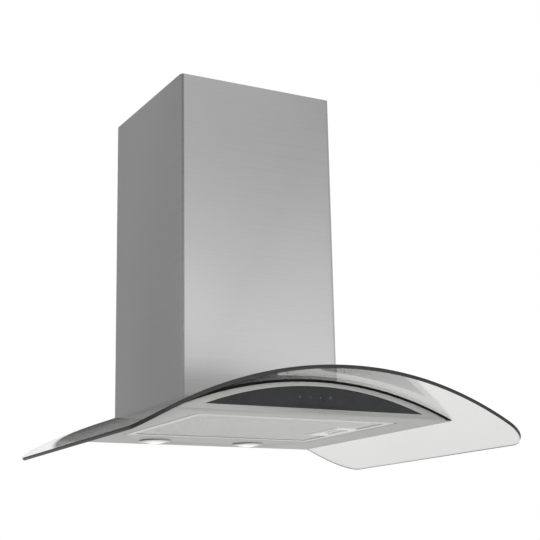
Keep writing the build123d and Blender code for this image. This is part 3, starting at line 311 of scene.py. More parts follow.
def temperedGlass(given):
    # clear float glass, bent and tempered: smooth faces that take a grey-green cast and mirror the studio
    # at a slant, with the roller wave of the furnace
    material, tree, spot = startMaterial("temperedFloatGlass")
    wave = addNode(tree, "ShaderNodeTexNoise", {"Vector": spot, "Scale": given["waves"], "Detail": 0.0})
    relief = addNode(tree, "ShaderNodeBump", {
        "Height": wave.outputs[0], "Strength": given["bump"], "Distance": reliefDepth})
    tint = addNode(tree, "ShaderNodeMix", {
        "Factor": wave.outputs[0], "A": toLinear(given["dark"]), "B": toLinear(given["light"])}, data_type="RGBA")
    return finishMaterial(material, addNode(tree, "ShaderNodeBsdfPrincipled", {
        "Base Color": tint.outputs["Result"], "Roughness": 0.0, "IOR": given["ior"],
        "Transmission Weight": 1.0, "Normal": relief.outputs[0]}))


def groundGlassEdge(given):
    # ground and polished edge: satin and near black, partly because light travels the long way through the sheet,
    # partly a painted shade for the gasket's shadow and the dark that the edge mirrors
    material, tree, spot = startMaterial("groundGlassEdge")
    grit = addNode(tree, "ShaderNodeTexNoise", {"Vector": spot, "Scale": given["grit"], "Detail": 2.0})
    tint = addNode(tree, "ShaderNodeValToRGB", {"Fac": grit.outputs[0]},
                   stops=colourStops((given["ramp"][0], given["dark"]), (given["ramp"][1], given["light"])))
    relief = addNode(tree, "ShaderNodeBump", {
        "Height": grit.outputs[0], "Strength": given["bump"], "Distance": fineDepth})
    return finishMaterial(material, addNode(tree, "ShaderNodeBsdfPrincipled", {
        "Base Color": tint.outputs[0], "Roughness": given["rough"], "IOR": given["ior"],
        "Transmission Weight": given["clear"], "Normal": relief.outputs[0]}))


clearGlass = temperedGlass(glassSet)
glassEdge = groundGlassEdge(glassEdgeSet)

finishSet = {  # for each slot: its material and what makes it up; grain is in marks for each metre
    # EPDM profile: nearly black and dull, only its rounded lip catches light
    "gasket_rubber": ("epdmRubber", {
        "dark": "#0B0B0A", "light": "#121211", "rough": 0.75, "grain": 600.0, "bump": 0.15, "specular": 0.25}),
    # ABS moulding with a fine spark texture: even, soft sheen
    "black_plastic": ("sparkTexturedAbs", {
        "dark": "#1B1B1B", "light": "#262626", "rough": 0.48, "grain": 1400.0, "bump": 0.25, "ior": 1.46}),
    "fan_plastic": ("polypropyleneMoulding", {
        "dark": "#3A3B3C", "light": "#454647", "rough": 0.42, "grain": 500.0, "bump": 0.12, "ior": 1.49}),
    "white_plastic": ("polycarbonateHousing", {
        "dark": "#DEDDD8", "light": "#E8E7E2", "rough": 0.38, "grain": 900.0, "bump": 0.12, "ior": 1.58}),
    "latch_plastic": ("silverLacqueredAbs", {
        "dark": "#ECEBE8", "light": "#F6F5F2", "rough": 0.36, "grain": 1600.0, "bump": 0.10, "metallic": 0.45}),
    # machined motor cover, dull zinc plated
    "motor_steel": ("platedMotorCover", {
        "dark": "#8B8D8E", "light": "#9C9E9F", "rough": 0.42, "grain": 350.0, "bump": 0.15, "metallic": 1.0}),
    "screw_steel": ("zincPlatedScrew", {
        "dark": "#B9B8B2", "light": "#CBCAC4", "rough": 0.30, "grain": 1500.0, "bump": 0.10, "metallic": 1.0}),
    "spring_steel": ("springWire", {
        "dark": "#C2C2BF", "light": "#CFCFCB", "rough": 0.24, "grain": 1500.0, "bump": 0.05, "metallic": 1.0}),
    "lamp_bezel": ("satinChromeBezel", {
        "dark": "#8E8E8C", "light": "#999997", "rough": 0.20, "grain": 900.0, "bump": 0.05, "metallic": 1.0}),
    "lamp_housing": ("dieCastAluminium", {
        "dark": "#A9AAAA", "light": "#B8B9B9", "rough": 0.46, "grain": 1100.0, "bump": 0.30, "metallic": 1.0}),
    # anodised aluminium sheet of the filter frame: pale satin
    "filter_aluminium": ("anodisedFilterFrame", {
        "dark": "#D2D2CF", "light": "#DDDDDA", "rough": 0.34, "grain": 420.0, "bump": 0.08, "metallic": 1.0}),
    "filter_mesh": ("expandedAluminium", {
        "dark": "#F2F2EF", "light": "#FBFBF8", "rough": 0.42, "grain": 260.0, "bump": 0.12, "metallic": 0.15}),
}
roughSpread = 0.04  # each way from a finish's roughness


def plainFinish(name, given):
    # a base colour that varies a little, with a fine relief, for mouldings, castings and plated or coated sheet
    material, tree, spot = startMaterial(name)
    grain = addNode(tree, "ShaderNodeTexNoise", {"Vector": spot, "Scale": given["grain"], "Detail": 3.0})
    tint = addNode(tree, "ShaderNodeValToRGB", {"Fac": grain.outputs[0]},
                   stops=colourStops((rampEnds[0], given["dark"]), (rampEnds[1], given["light"])))
    rough = addNode(tree, "ShaderNodeMapRange", {
        "Value": grain.outputs[0], "From Min": rampEnds[0], "From Max": rampEnds[1],
        "To Min": given["rough"] - roughSpread, "To Max": given["rough"] + roughSpread})
    relief = addNode(tree, "ShaderNodeBump", {
        "Height": grain.outputs[0], "Strength": given["bump"], "Distance": reliefDepth})
    return finishMaterial(material, addNode(tree, "ShaderNodeBsdfPrincipled", {
        "Base Color": tint.outputs[0], "Metallic": given.get("metallic", 0.0), "Roughness": rough.outputs[0],
        "IOR": given.get("ior", 1.5), "Specular IOR Level": given.get("specular", 0.5),
        "Normal": relief.outputs[0]}))


finishes = {slot: plainFinish(name, given) for slot, (name, given) in finishSet.items()}

zincSet = {"dark": "#B8BABB", "light": "#CCCECF", "ramp": (0.2, 0.8), "crystals": 110.0, "rough": (0.32, 0.46)}


def galvanisedSheet(given):
    # hot-dip galvanised sheet: crystals of zinc, 6 to 12 mm across, in slightly different greys
    material, tree, spot = startMaterial("galvanisedSheet")
    crystals = addNode(tree, "ShaderNodeTexVoronoi", {
        "Vector": spot, "Scale": given["crystals"], "Randomness": 1.0})
    tint = addNode(tree, "ShaderNodeValToRGB", {"Fac": crystals.outputs["Color"]},
                   stops=colourStops((given["ramp"][0], given["dark"]), (given["ramp"][1], given["light"])))
    rough = addNode(tree, "ShaderNodeMapRange", {
        "Value": crystals.outputs["Distance"], "To Min": given["rough"][0], "To Max": given["rough"][1]})
    return finishMaterial(material, addNode(tree, "ShaderNodeBsdfPrincipled", {
        "Base Color": tint.outputs[0], "Metallic": 1.0, "Roughness": rough.outputs[0]}))


touchSet = {"dark": "#1B1F22", "light": "#23272A", "smudges": 30.0, "rough": (0.06, 0.12), "ior": 1.52}


def touchGlass(given):
    # tinted glass over a dark print: near black, with a blue-grey gloss
    material, tree, spot = startMaterial("smokedTouchGlass")
    smudge = addNode(tree, "ShaderNodeTexNoise", {"Vector": spot, "Scale": given["smudges"], "Detail": 3.0})
    tint = addNode(tree, "ShaderNodeValToRGB", {"Fac": smudge.outputs[0]},
                   stops=colourStops((rampEnds[0], given["dark"]), (rampEnds[1], given["light"])))
    rough = addNode(tree, "ShaderNodeMapRange", {
        "Value": smudge.outputs[0], "To Min": given["rough"][0], "To Max": given["rough"][1]})
    return finishMaterial(material, addNode(tree, "ShaderNodeBsdfPrincipled", {
        "Base Color": tint.outputs[0], "Roughness": rough.outputs[0], "IOR": given["ior"]}))


lensSet = {
    "dark": "#ECECE9", "light": "#F5F5F2", "frost": 800.0, "bump": 0.1, "rough": 0.28, "ior": 1.58, "clear": 0.35,
    # glow, with its colour and radius: a faint emission in the middle of the lens, a painted highlight
    "glow": 0.5, "highlightColour": "#FFFDF8", "highlightRadius": 0.018,
}


def lampLens(given):
    # frosted polycarbonate lens: milky white, brightest in the middle over the diode, where a faint emission paints
    # a highlight
    low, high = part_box("right_lamp_lens")
    material, tree, spot = startMaterial("frostedLampLens")
    frost = addNode(tree, "ShaderNodeTexNoise", {"Vector": spot, "Scale": given["frost"], "Detail": 2.0})
    tint = addNode(tree, "ShaderNodeValToRGB", {"Fac": frost.outputs[0]},
                   stops=colourStops((rampEnds[0], given["dark"]), (rampEnds[1], given["light"])))
    relief = addNode(tree, "ShaderNodeBump", {
        "Height": frost.outputs[0], "Strength": given["bump"], "Distance": fineDepth})
    split = addNode(tree, "ShaderNodeSeparateXYZ", {"Vector": spot})
    centre = (low + high) / 2
    # the two lamps mirror each other, so x is counted from the middle of the hood
    fromMiddle = addNode(tree, "ShaderNodeMath", {0: split.outputs["X"]}, operation="ABSOLUTE")
    across = addNode(tree, "ShaderNodeMath", {0: fromMiddle.outputs[0], 1: centre.x}, operation="SUBTRACT")
    along = addNode(tree, "ShaderNodeMath", {0: split.outputs["Y"], 1: centre.y}, operation="SUBTRACT")
    flat = addNode(tree, "ShaderNodeCombineXYZ", {"X": across.outputs[0], "Y": along.outputs[0]})
    distance = addNode(tree, "ShaderNodeVectorMath", {0: flat.outputs[0]}, operation="LENGTH")
    # painted highlight: a faint glow, strongest at the middle of the lens and fading outwards
    fade = addNode(tree, "ShaderNodeMapRange", {
        "Value": distance.outputs["Value"], "From Max": given["highlightRadius"], "To Min": 1.0, "To Max": 0.0})
    paintedGlow = addNode(tree, "ShaderNodeMix", {
        "Factor": fade.outputs[0], "A": (0, 0, 0, 1), "B": toLinear(given["highlightColour"])}, data_type="RGBA")
    return finishMaterial(material, addNode(tree, "ShaderNodeBsdfPrincipled", {
        "Base Color": tint.outputs[0], "Roughness": given["rough"], "IOR": given["ior"],
        "Transmission Weight": given["clear"], "Normal": relief.outputs[0],
        "Emission Color": paintedGlow.outputs["Result"], "Emission Strength": given["glow"]}))


boardSet = {
    "mask": ("#1E5B34", "#226540"), "gap": "#174A2A", "gapWidth": 0.06, "tracks": 240.0, "rough": 0.35, "ior": 1.52,
}


def circuitBoard(given):
    # green solder mask over copper tracks, 1.6 mm apart
    material, tree, spot = startMaterial("solderMaskBoard")
    tracks = addNode(tree, "ShaderNodeTexBrick", {
        "Vector": spot, "Scale": given["tracks"], "Color1": toLinear(given["mask"][0]),
        "Color2": toLinear(given["mask"][1]), "Mortar": toLinear(given["gap"]), "Mortar Size": given["gapWidth"]})
    return finishMaterial(material, addNode(tree, "ShaderNodeBsdfPrincipled", {
        "Base Color": tracks.outputs["Color"], "Roughness": given["rough"], "IOR": given["ior"]}))


finishes["galvanised_steel"] = galvanisedSheet(zincSet)
finishes["touch_glass"] = touchGlass(touchSet)
finishes["lamp_lens"] = lampLens(lensSet)
finishes["circuit_board"] = circuitBoard(boardSet)
finishes["brushed_steel"] = coverSteel
finishes["canopy_glass"] = clearGlass
for name, node in nodes.items():
    node.data.materials.clear()
    node.data.materials.append(finishes[nodeSlot[name]])
# the same steel on the underside panel and the fascia, in copies painted darker: painted shade
nodes["underside_panel"].data.materials[0] = shadedPanelSteel
nodes["front_fascia"].data.materials[0] = shadedFasciaSteel
print("materials made:", len(bpy.data.materials))

# folded and moulded pieces get their small edge radius: the node's own shape, welded, with a bevel
edgeSet = {
    "flatAngle": 0.4,  # degrees under which faces count as one
    "edgeAngle": 32,  # degrees from which an edge is rounded
    "sharpAngle": 40,  # and from which it still shows as sharp
    "steps": 2,
    "radii": {  # mm
        "lower_chimney": 0.35,
        "upper_chimney": 0.35,
        "underside_panel": 0.35,
        "front_fascia": 0.3,
        "touch_panel": 0.4,
        "filter_frame": 0.35,
        "latch_housing": 0.5,
        "latch_slider": 0.4,
        "left_lamp_bezel": 0.4,
        "right_lamp_bezel": 0.4,
    },
}
weldReach = 2e-6


def welded(node):
    shape = bmesh.new()
    shape.from_mesh(nodes[node].data)
    bmesh.ops.remove_doubles(shape, verts=shape.verts, dist=weldReach)
    return shape


def asMesh(piece):  # a piece with modifiers becomes a plain mesh with none
    bpy.context.view_layer.update()
    made = bpy.data.meshes.new_from_object(piece.evaluated_get(bpy.context.evaluated_depsgraph_get()))
    made.name = piece.name
    piece.modifiers.clear()
    piece.data = made


def roundEdges(piece, radius, steps, angle):
    bevel = piece.modifiers.new("edge", "BEVEL")
    bevel.width, bevel.segments = radius, steps
    bevel.limit_method, bevel.angle_limit = "ANGLE", math.radians(angle)
    asMesh(piece)


def smoothFaces(mesh, angle):
    mesh.shade_smooth()
    mesh.set_sharp_from_angle(angle=math.radians(angle))


def pieceNameOf(node):
    words = node.split("_")
    return words[0] + "".join(word.title() for word in words[1:]) + "Finished"


def softenEdges(given):
    for node, radius in given["radii"].items():
        shape = welded(node)
        flat = math.radians(given["flatAngle"])
        bmesh.ops.dissolve_limit(shape, angle_limit=flat, verts=shape.verts, edges=shape.edges)
        mesh = nodes[node].data.copy()
        shape.to_mesh(mesh)
        shape.free()
        piece = addObject(pieceNameOf(node), mesh)
        roundEdges(piece, radius / 1000, given["steps"], given["edgeAngle"])
        smoothFaces(piece.data, given["sharpAngle"])
        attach(piece, nodeBody[node])
        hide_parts(node)
    print("edges softened:", len(given["radii"]))


softenEdges(edgeSet)

# the bent sheet: outline of the CAD sheet's upper face, bent again in narrow strips with true radial normals
glassSheetSet = {
    "radius": 0.565022,
    "thickness": 0.005,
    "strip": 0.006,  # width of the strips it is bent in
    "arris": 0.0007,  # ground edge
    "arrisSteps": 2,
    "arrisAngle": 50,  # degrees from which an edge is ground
    "flatAngle": 1,  # degrees under which faces of the outline count as one
    "facing": 0.99,  # share of a face's normal along the bend's radius, in the two large faces
}


def bendGlass(given):
    glassLow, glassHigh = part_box("canopy_glass")
    axisHeight = glassHigh.z - given["radius"]

    def outward(point):
        return Vector((point.x, 0, point.z - axisHeight)).normalized()

    # keep the upper face, lay it flat, cut it in strips and bend these
    shape = welded("canopy_glass")
    shape.normal_update()
    under = [f for f in shape.faces if f.normal.dot(outward(f.calc_center_median())) < given["facing"]]
    bmesh.ops.delete(shape, geom=under, context="FACES")
    for corner in shape.verts:
        corner.co.z = 0
    flat = math.radians(given["flatAngle"])
    bmesh.ops.dissolve_limit(shape, angle_limit=flat, verts=shape.verts, edges=shape.edges)
    half = max(corner.co.x for corner in shape.verts)
    cuts = int(2 * half / given["strip"])
    for index in range(1, cuts):
        every = shape.verts[:] + shape.edges[:] + shape.faces[:]
        cutAt = (-half + 2 * half * index / cuts, 0, 0)
        bmesh.ops.bisect_plane(shape, geom=every, plane_co=cutAt, plane_no=(1, 0, 0))
    for corner in shape.verts:
        corner.co.z = axisHeight + math.sqrt(given["radius"] ** 2 - corner.co.x ** 2)
    # the lower face is its twin, and the edge joins the two
    rimEdges = [e for e in shape.edges if len(e.link_faces) == 1]
    lower = bmesh.ops.duplicate(shape, geom=shape.verts[:] + shape.edges[:] + shape.faces[:])
    twin = lower["vert_map"]
    for edge in rimEdges:
        a, b = edge.verts
        shape.faces.new((a, b, twin[b], twin[a]))
    moved = {item for item in lower["geom"] if isinstance(item, bmesh.types.BMVert)}
    for corner in moved:
        corner.co -= outward(corner.co) * given["thickness"]
    bmesh.ops.recalc_face_normals(shape, faces=shape.faces)
    mesh = bpy.data.meshes.new("bentGlassSheet")
    shape.to_mesh(mesh)
    shape.free()
    piece = addObject("bentGlassSheet", mesh)
    roundEdges(piece, given["arris"], given["arrisSteps"], given["arrisAngle"])
    mesh = piece.data
    for corner in mesh.vertices:
        corner.co.z = max(corner.co.z, glassLow.z)  # the CAD sheet's facets stop a hair short of the true tips
    mesh.materials.append(clearGlass)
    mesh.materials.append(glassEdge)
    mesh.shade_smooth()
    normals = [Vector(corner.vector) for corner in mesh.corner_normals]
    for face in mesh.polygons:
        side = face.normal.dot(outward(face.center))
        if abs(side) > given["facing"]:
            for loop in face.loop_indices:
                normals[loop] = outward(mesh.vertices[mesh.loops[loop].vertex_index].co) * math.copysign(1, side)
        else:
            face.material_index = 1
    mesh.normals_split_custom_set(normals)
    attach(piece, nodeBody["canopy_glass"])
    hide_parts("canopy_glass")
    print("glass bent:", len(mesh.polygons), "faces")


bendGlass(glassSheetSet)


# Geometry Nodes: one tree for each thing that repeats
def startTree(name, inputs):  # inputs: socket type and value by name; the identifiers are what the modifier takes
    tree = bpy.data.node_groups.new(name, "GeometryNodeTree")
    tree.interface.new_socket(name="Geometry", in_out="INPUT", socket_type="NodeSocketGeometry")
    identifiers = {}
    for key, (kind, value) in inputs.items():
        socket = tree.interface.new_socket(name=key, in_out="INPUT", socket_type=kind)
        identifiers[key] = socket.identifier
    tree.interface.new_socket(name="Geometry", in_out="OUTPUT", socket_type="NodeSocketGeometry")
    return tree, tree.nodes.new("NodeGroupInput"), identifiers


def endTree(tree, geometry, material):
    real = addNode(tree, "GeometryNodeRealizeInstances", {"Geometry": geometry})
    painted = addNode(tree, "GeometryNodeSetMaterial", {"Geometry": real.outputs[0], "Material": material})
    addNode(tree, "NodeGroupOutput", {"Geometry": painted.outputs[0]})


def growPiece(name, mesh, tree, identifiers, inputs):
    piece = addObject(name, mesh)
    modifier = piece.modifiers.new("build", "NODES")
    modifier.node_group = tree
    for key, (kind, value) in inputs.items():
        modifier[identifiers[key]] = value
    asMesh(piece)
    return piece


# lower layer of the filter: zigzag strands, each touching the next, as expanded aluminium is drawn
expandedMeshSet = {
    "pitch": 0.0090,  # length of one opening, stretched a little so that the rows end in the latch
    "crest": 0.14,  # length of a crest, as a share of the opening
    "halfWave": 0.0017,
    "strandWidth": 0.0023,
    "strandHeight": 0.0008,
    "margin": 0.0015,  # to the folded edge of the frame
    "overrun": 0.0024,  # of the rows into the wall of the latch
}


def expandedMeshTree(inputs, crestShare):
    tree, entry, identifiers = startTree("expandedMeshRows", inputs)
    value = entry.outputs
    # one strand: a trapezoid wave of four points for each opening, two low and then two high
    index = addNode(tree, "GeometryNodeInputIndex")
    quarter = addNode(tree, "ShaderNodeMath", {0: index.outputs[0], 1: 4.0}, operation="DIVIDE")
    opening = addNode(tree, "ShaderNodeMath", {0: quarter.outputs[0]}, operation="FLOOR")
    step = addNode(tree, "ShaderNodeMath", {0: index.outputs[0], 1: 4.0}, operation="MODULO")
    crest = addNode(tree, "ShaderNodeMath", {0: step.outputs[0], 1: 1.5}, operation="GREATER_THAN")
    second = addNode(tree, "ShaderNodeMath", {0: index.outputs[0], 1: 2.0}, operation="MODULO")
    half = addNode(tree, "ShaderNodeMath", {
        0: crest.outputs[0], 1: 0.5, 2: opening.outputs[0]}, operation="MULTIPLY_ADD")
    share = addNode(tree, "ShaderNodeMath", {
        0: second.outputs[0], 1: crestShare, 2: half.outputs[0]}, operation="MULTIPLY_ADD")
    along = addNode(tree, "ShaderNodeMath", {0: share.outputs[0], 1: value["Pitch"]}, operation="MULTIPLY")
    swing = addNode(tree, "ShaderNodeMath", {0: crest.outputs[0], 1: 2.0, 2: -1.0}, operation="MULTIPLY_ADD")
    across = addNode(tree, "ShaderNodeMath", {0: swing.outputs[0], 1: value["Half Wave"]}, operation="MULTIPLY")
    spot = addNode(tree, "ShaderNodeCombineXYZ", {"X": along.outputs[0], "Y": across.outputs[0]})
    line = addNode(tree, "GeometryNodeMeshLine", {"Count": value["Points"]})
    bent = addNode(tree, "GeometryNodeSetPosition", {"Geometry": line.outputs[0], "Position": spot.outputs[0]})
    strand = addNode(tree, "GeometryNodeMeshToCurve", {"Mesh": bent.outputs[0]})
    section = addNode(tree, "GeometryNodeCurvePrimitiveQuadrilateral", {
        "Width": value["Strand Width"], "Height": value["Strand Height"]})
    solid = addNode(tree, "GeometryNodeCurveToMesh", {
        "Curve": strand.outputs[0], "Profile Curve": section.outputs[0], "Fill Caps": True})
    # rows of strands, every other one shifted by half an opening
    rowGap = addNode(tree, "ShaderNodeMath", {0: value["Half Wave"], 1: 2.0}, operation="MULTIPLY")
    offset = addNode(tree, "ShaderNodeCombineXYZ", {"Y": rowGap.outputs[0]})
    rows = addNode(tree, "GeometryNodeMeshLine", {
        "Count": value["Rows"], "Start Location": value["Start"], "Offset": offset.outputs[0]})
    halfPitch = addNode(tree, "ShaderNodeMath", {0: value["Pitch"], 1: 0.5}, operation="MULTIPLY")
    rowNumber = addNode(tree, "ShaderNodeMath", {0: index.outputs[0], 1: value["First Row"]}, operation="ADD")
    oddRow = addNode(tree, "ShaderNodeMath", {0: rowNumber.outputs[0], 1: 2.0}, operation="MODULO")
    shift = addNode(tree, "ShaderNodeMath", {0: oddRow.outputs[0], 1: halfPitch.outputs[0]}, operation="MULTIPLY")
    sideways = addNode(tree, "ShaderNodeCombineXYZ", {"X": shift.outputs[0]})
    placed = addNode(tree, "GeometryNodeSetPosition", {"Geometry": rows.outputs[0], "Offset": sideways.outputs[0]})
    many = addNode(tree, "GeometryNodeInstanceOnPoints", {"Points": placed.outputs[0], "Instance": solid.outputs[0]})
    endTree(tree, many.outputs[0], finishes["filter_mesh"])
    return tree, identifiers


def makeFilterMesh(given):
    low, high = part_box("filter_lower_mesh")
    latchLow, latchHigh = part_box("latch_housing")
    left, rowGap = low.x + given["margin"], 2 * given["halfWave"]
    frameEnd, latchEnd = high.x - given["margin"], latchLow.x + given["overrun"]
    endShare = 0.5 + given["crest"]  # openings that the shift of every other row and the last crest take up
    halves = round(((latchEnd - left) / given["pitch"] - endShare) * 2)
    pitch = (latchEnd - left) / (halves / 2 + endShare)
    rowCount = int((high.y - low.y - 2 * given["margin"]) / rowGap)
    start = (low.y + high.y - (rowCount - 1) * rowGap) / 2
    rowLevels = [start + k * rowGap for k in range(rowCount)]
    besideLatch = [latchLow.y - given["halfWave"] < y < latchHigh.y + given["halfWave"] for y in rowLevels]
    first, last = besideLatch.index(True), rowCount - besideLatch[::-1].index(True)
    shape = bmesh.new()
    for begin, end, right in ((0, first, frameEnd), (first, last, latchEnd), (last, rowCount, frameEnd)):
        halfOpenings = int(((right - left) / pitch - endShare) * 2 + 0.01)  # the hundredth takes up rounding
        inputs = {
            "Pitch": ("NodeSocketFloat", pitch),
            "Half Wave": ("NodeSocketFloat", given["halfWave"]),
            "Strand Width": ("NodeSocketFloat", given["strandWidth"]),
            "Strand Height": ("NodeSocketFloat", given["strandHeight"]),
            "Rows": ("NodeSocketInt", end - begin),
            "First Row": ("NodeSocketInt", begin),  # keeps the rows in step from one block to the next
            "Points": ("NodeSocketInt", 2 * (halfOpenings + 1)),
            "Start": ("NodeSocketVector", (left, rowLevels[begin], (low.z + high.z) / 2)),
        }
        tree, identifiers = expandedMeshTree(inputs, given["crest"])
        part = growPiece("meshRows", bpy.data.meshes.new("meshRows"), tree, identifiers, inputs)
        shape.from_mesh(part.data)
        bpy.data.objects.remove(part)
    bmesh.ops.recalc_face_normals(shape, faces=shape.faces)
    mesh = bpy.data.meshes.new("expandedFilterMesh")
    shape.to_mesh(mesh)
    shape.free()
    mesh.materials.append(finishes["filter_mesh"])
    piece = addObject("expandedFilterMesh", mesh)
    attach(piece, "filter")
    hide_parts("filter_lower_mesh")
    print("filter mesh:", len(mesh.polygons), "faces")


makeFilterMesh(expandedMeshSet)

# screws: a pan head with a cross recess on every seat of the CAD screws
screwSet = {
    "nodes": [
        "box_screws", "clamp_screws", "motor_screws", "spigot_screws",
        "lower_bracket_screws", "upper_bracket_screws"],
    "headShare": 0.93,  # of the CAD head's reach: its corners reach a little further
    "headProfile": [(1.0, 0.0), (1.0, 0.35), (0.86, 0.78), (0.62, 1.0)],  # shares of its radius and height
    "recess": 0.0009,
    "recessTaper": 0.8,
    "crossReach": 0.0019,
    "crossHalf": 0.00042,
    "levelReach": 2e-4,  # corners this near to an end belong to it
    "facing": 0.999,
    "sharpAngle": 35,
    "seed": 7,
    "turn": 6.28,  # each screw stops at some turn up to this
}


def looseParts(shape):
    # a dictionary keeps its order, so every run numbers the screws alike
    left, parts = dict.fromkeys(shape.faces), []
    while left:
        seed = next(iter(left))
        del left[seed]
        part, stack = [seed], [seed]
        while stack:
            for edge in stack.pop().edges:
                for other in edge.link_faces:
                    if other in left:
                        del left[other]
                        part.append(other)
                        stack.append(other)
        parts.append(part)
    return parts


def flatAxis(faces, facing):  # the way that most of the flat area faces
    def flatArea(way):
        return sum(face.calc_area() for face in faces if face.normal.dot(way) > facing)
    return max((face.normal.copy() for face in faces), key=flatArea)


def readSeats(node, given):
    # of each screw: seat, direction out of the head, head and shank radius, shank length and head height
    shape = welded(node)
    shape.normal_update()
    seats = []
    for faces in looseParts(shape):
        axis = flatAxis(faces, given["facing"])
        points = list({corner.index: corner.co.copy() for face in faces for corner in face.verts}.values())
        area = sum(face.calc_area() for face in faces)
        centre = sum((face.calc_center_median() * face.calc_area() for face in faces), Vector()) / area
        heights = [(p - centre).dot(axis) for p in points]
        reaches = [(p - centre - axis * h).length for p, h in zip(points, heights)]
        top, bottom = max(heights), min(heights)
        topReach = max(r for r, h in zip(reaches, heights) if h > top - given["levelReach"])
        bottomReach = max(r for r, h in zip(reaches, heights) if h < bottom + given["levelReach"])
        if bottomReach > topReach:
            axis, heights, top, bottom = -axis, [-h for h in heights], -bottom, -top
        headReach, shankReach = max(topReach, bottomReach), min(topReach, bottomReach)
        seatLevel = min(h for r, h in zip(reaches, heights) if r > (headReach + shankReach) / 2)
        seat = centre + axis * seatLevel
        seats.append((seat, axis, headReach, shankReach, seatLevel - bottom, top - seatLevel))
    shape.free()
    return seats


def screwMesh(given, headReach, shankRadius, shank, headHeight):
    # rings of corners, the round ones in step with those of the cross
    turns = [math.radians(a + 90 * quarter) for quarter in range(4) for a in (-15, 15, 45)]
    reach, half = given["crossReach"], given["crossHalf"]
    cross = []
    for quarter in range(4):
        cosine, sine = math.cos(quarter * math.pi / 2), math.sin(quarter * math.pi / 2)
        for x, y in ((reach, -half), (reach, half), (half, half)):
            cross.append(Vector((x * cosine - y * sine, x * sine + y * cosine)))
    headRadius = headReach * given["headShare"]
    profile = [(shankRadius, -shank), (shankRadius, 0)]
    profile += [(headRadius * out, headHeight * up) for out, up in given["headProfile"]]
    rings = [[(radius * math.cos(t), radius * math.sin(t), level) for t in turns] for radius, level in profile]
    rings.append([(p.x, p.y, headHeight) for p in cross])
    taper = given["recessTaper"]
    rings.append([(p.x * taper, p.y * taper, headHeight - given["recess"]) for p in cross])
    sides = len(turns)
    faces = [tuple(range(sides))[::-1]]
    for level in range(len(rings) - 1):
        for k in range(sides):
            a, b = level * sides + k, level * sides + (k + 1) % sides
            faces.append((a, b, b + sides, a + sides))
    faces.append(tuple((len(rings) - 1) * sides + k for k in range(sides)))
    mesh = bpy.data.meshes.new("panHeadScrew")
    mesh.from_pydata([p for ring in rings for p in ring], [], faces)
    return mesh


def screwTree(given, screwObject):
    inputs = {"Seed": ("NodeSocketInt", given["seed"])}
    tree, entry, identifiers = startTree("screwsOnSeats", inputs)
    out = addNode(tree, "GeometryNodeInputNamedAttribute", {"Name": "facing"}, data_type="FLOAT_VECTOR")
    straight = addNode(tree, "FunctionNodeAlignRotationToVector", {"Vector": out.outputs[0]}, axis="Z")
    turn = addNode(tree, "FunctionNodeRandomValue", {
        "Seed": entry.outputs["Seed"], 3: given["turn"]}, data_type="FLOAT")
    spin = addNode(tree, "ShaderNodeCombineXYZ", {"Z": turn.outputs[1]})
    turned = addNode(tree, "FunctionNodeRotateRotation", {
        "Rotation": straight.outputs[0], "Rotate By": spin.outputs[0]}, rotation_space="LOCAL")
    source = addNode(tree, "GeometryNodeObjectInfo", {"Object": screwObject})
    many = addNode(tree, "GeometryNodeInstanceOnPoints", {
        "Points": entry.outputs["Geometry"], "Instance": source.outputs["Geometry"],
        "Rotation": turned.outputs[0]})
    endTree(tree, many.outputs[0], finishes["screw_steel"])
    return tree, identifiers, inputs


def makeScrews(given):
    for node in given["nodes"]:
        seats = readSeats(node, given)
        master = addObject("screwMaster", screwMesh(given, *seats[0][2:]))
        cloud = bpy.data.meshes.new("screwSeats")
        cloud.from_pydata([seat[0] for seat in seats], [], [])
        facing = cloud.attributes.new("facing", "FLOAT_VECTOR", "POINT")
        for k, seat in enumerate(seats):
            facing.data[k].vector = seat[1]
        tree, identifiers, inputs = screwTree(given, master)
        piece = growPiece(pieceNameOf(node), cloud, tree, identifiers, inputs)
        smoothFaces(piece.data, given["sharpAngle"])
        bpy.data.objects.remove(master)
        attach(piece, nodeBody[node])
        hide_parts(node)
    print("screws placed")


makeScrews(screwSet)

# touch symbols, printed behind the glass: power, minus, plus, lamp; the faint light of the real ones is not drawn
symbolSet = {
    "centre": -0.0056,
    "pitch": 0.0163,
    "level": -0.2172,
    "size": 0.0018,  # half of a symbol
    "line": 0.0006,
    "heavyLine": 1.3,  # times as wide, for the lamp
    "proud": 0.00004,
    "crossing": 0.00001,  # that the upright of the plus stands in front of its bar
    "ink": 0.00002,
    "dark": "#54585C",
    "light": "#6C7074",
    "wear": 700.0,
    "rough": 0.35,
}


def symbolInk(given):
    # screen-printed grey ink, a little lighter than the glass over it
    material, tree, spot = startMaterial("touchSymbolInk")
    wear = addNode(tree, "ShaderNodeTexNoise", {"Vector": spot, "Scale": given["wear"], "Detail": 2.0})
    tint = addNode(tree, "ShaderNodeValToRGB", {"Fac": wear.outputs[0]},
                   stops=colourStops((rampEnds[0], given["dark"]), (rampEnds[1], given["light"])))
    return finishMaterial(material, addNode(tree, "ShaderNodeBsdfPrincipled", {
        "Base Color": tint.outputs[0], "Roughness": given["rough"]}))


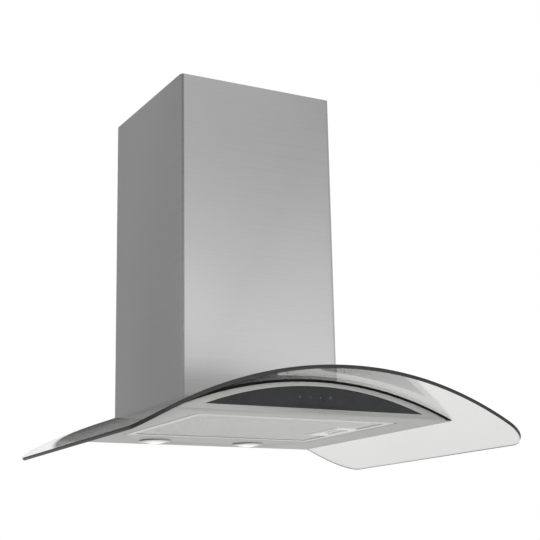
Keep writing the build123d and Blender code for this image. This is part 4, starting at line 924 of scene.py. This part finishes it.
def strip(shape, points, width, level):  # a flat strip of a width along points of the face
    rows = []
    for k, point in enumerate(points):
        run = (Vector(points[min(k + 1, len(points) - 1)]) - Vector(points[max(k - 1, 0)])).normalized()
        side = Vector((-run.y, run.x)) * width / 2
        here = Vector(point)
        rows.append([shape.verts.new((end.x, level, end.y)) for end in (here + side, here - side)])
    for a, b in zip(rows, rows[1:]):
        shape.faces.new((a[0], b[0], b[1], a[1]))


def arcPoints(x, z, radius, start, end, steps):
    angles = [math.radians(start + (end - start) * k / steps) for k in range(steps + 1)]
    return [(x + radius * math.cos(angle), z + radius * math.sin(angle)) for angle in angles]


def makeSymbols(given):
    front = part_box("touch_panel")[0].y - given["proud"]
    size, line, level = given["size"], given["line"], given["level"]
    power, minus, plus, lamp = (given["centre"] + (k - 1.5) * given["pitch"] for k in range(4))
    strokes = [  # points, width and depth
        (arcPoints(power, level, size * 0.85, 125, 415, 18), line, front),
        ([(power, level + size * 0.3), (power, level + size * 1.1)], line, front),
        ([(minus - size, level), (minus + size, level)], line, front),
        ([(plus - size, level), (plus + size, level)], line, front),
        ([(plus, level - size), (plus, level + size)], line, front - given["crossing"]),
        (arcPoints(lamp, level + size * 0.35, size * 0.75, -50, 230, 16), line * given["heavyLine"], front),
        ([(lamp - size * 0.4, level - size * 0.6), (lamp + size * 0.4, level - size * 0.6)], line, front),
        ([(lamp - size * 0.3, level - size), (lamp + size * 0.3, level - size)], line, front),
    ]
    shape = bmesh.new()
    for points, width, depth in strokes:
        strip(shape, points, width, depth)
    bmesh.ops.recalc_face_normals(shape, faces=shape.faces)
    for face in shape.faces:
        if face.normal.y > 0:
            face.normal_flip()
    bmesh.ops.solidify(shape, geom=shape.faces[:], thickness=given["ink"])
    mesh = bpy.data.meshes.new("touchSymbols")
    shape.to_mesh(mesh)
    shape.free()
    mesh.materials.append(symbolInk(given))
    piece = addObject("touchSymbols", mesh)
    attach(piece, "hood")
    print("touch symbols drawn")


makeSymbols(symbolSet)
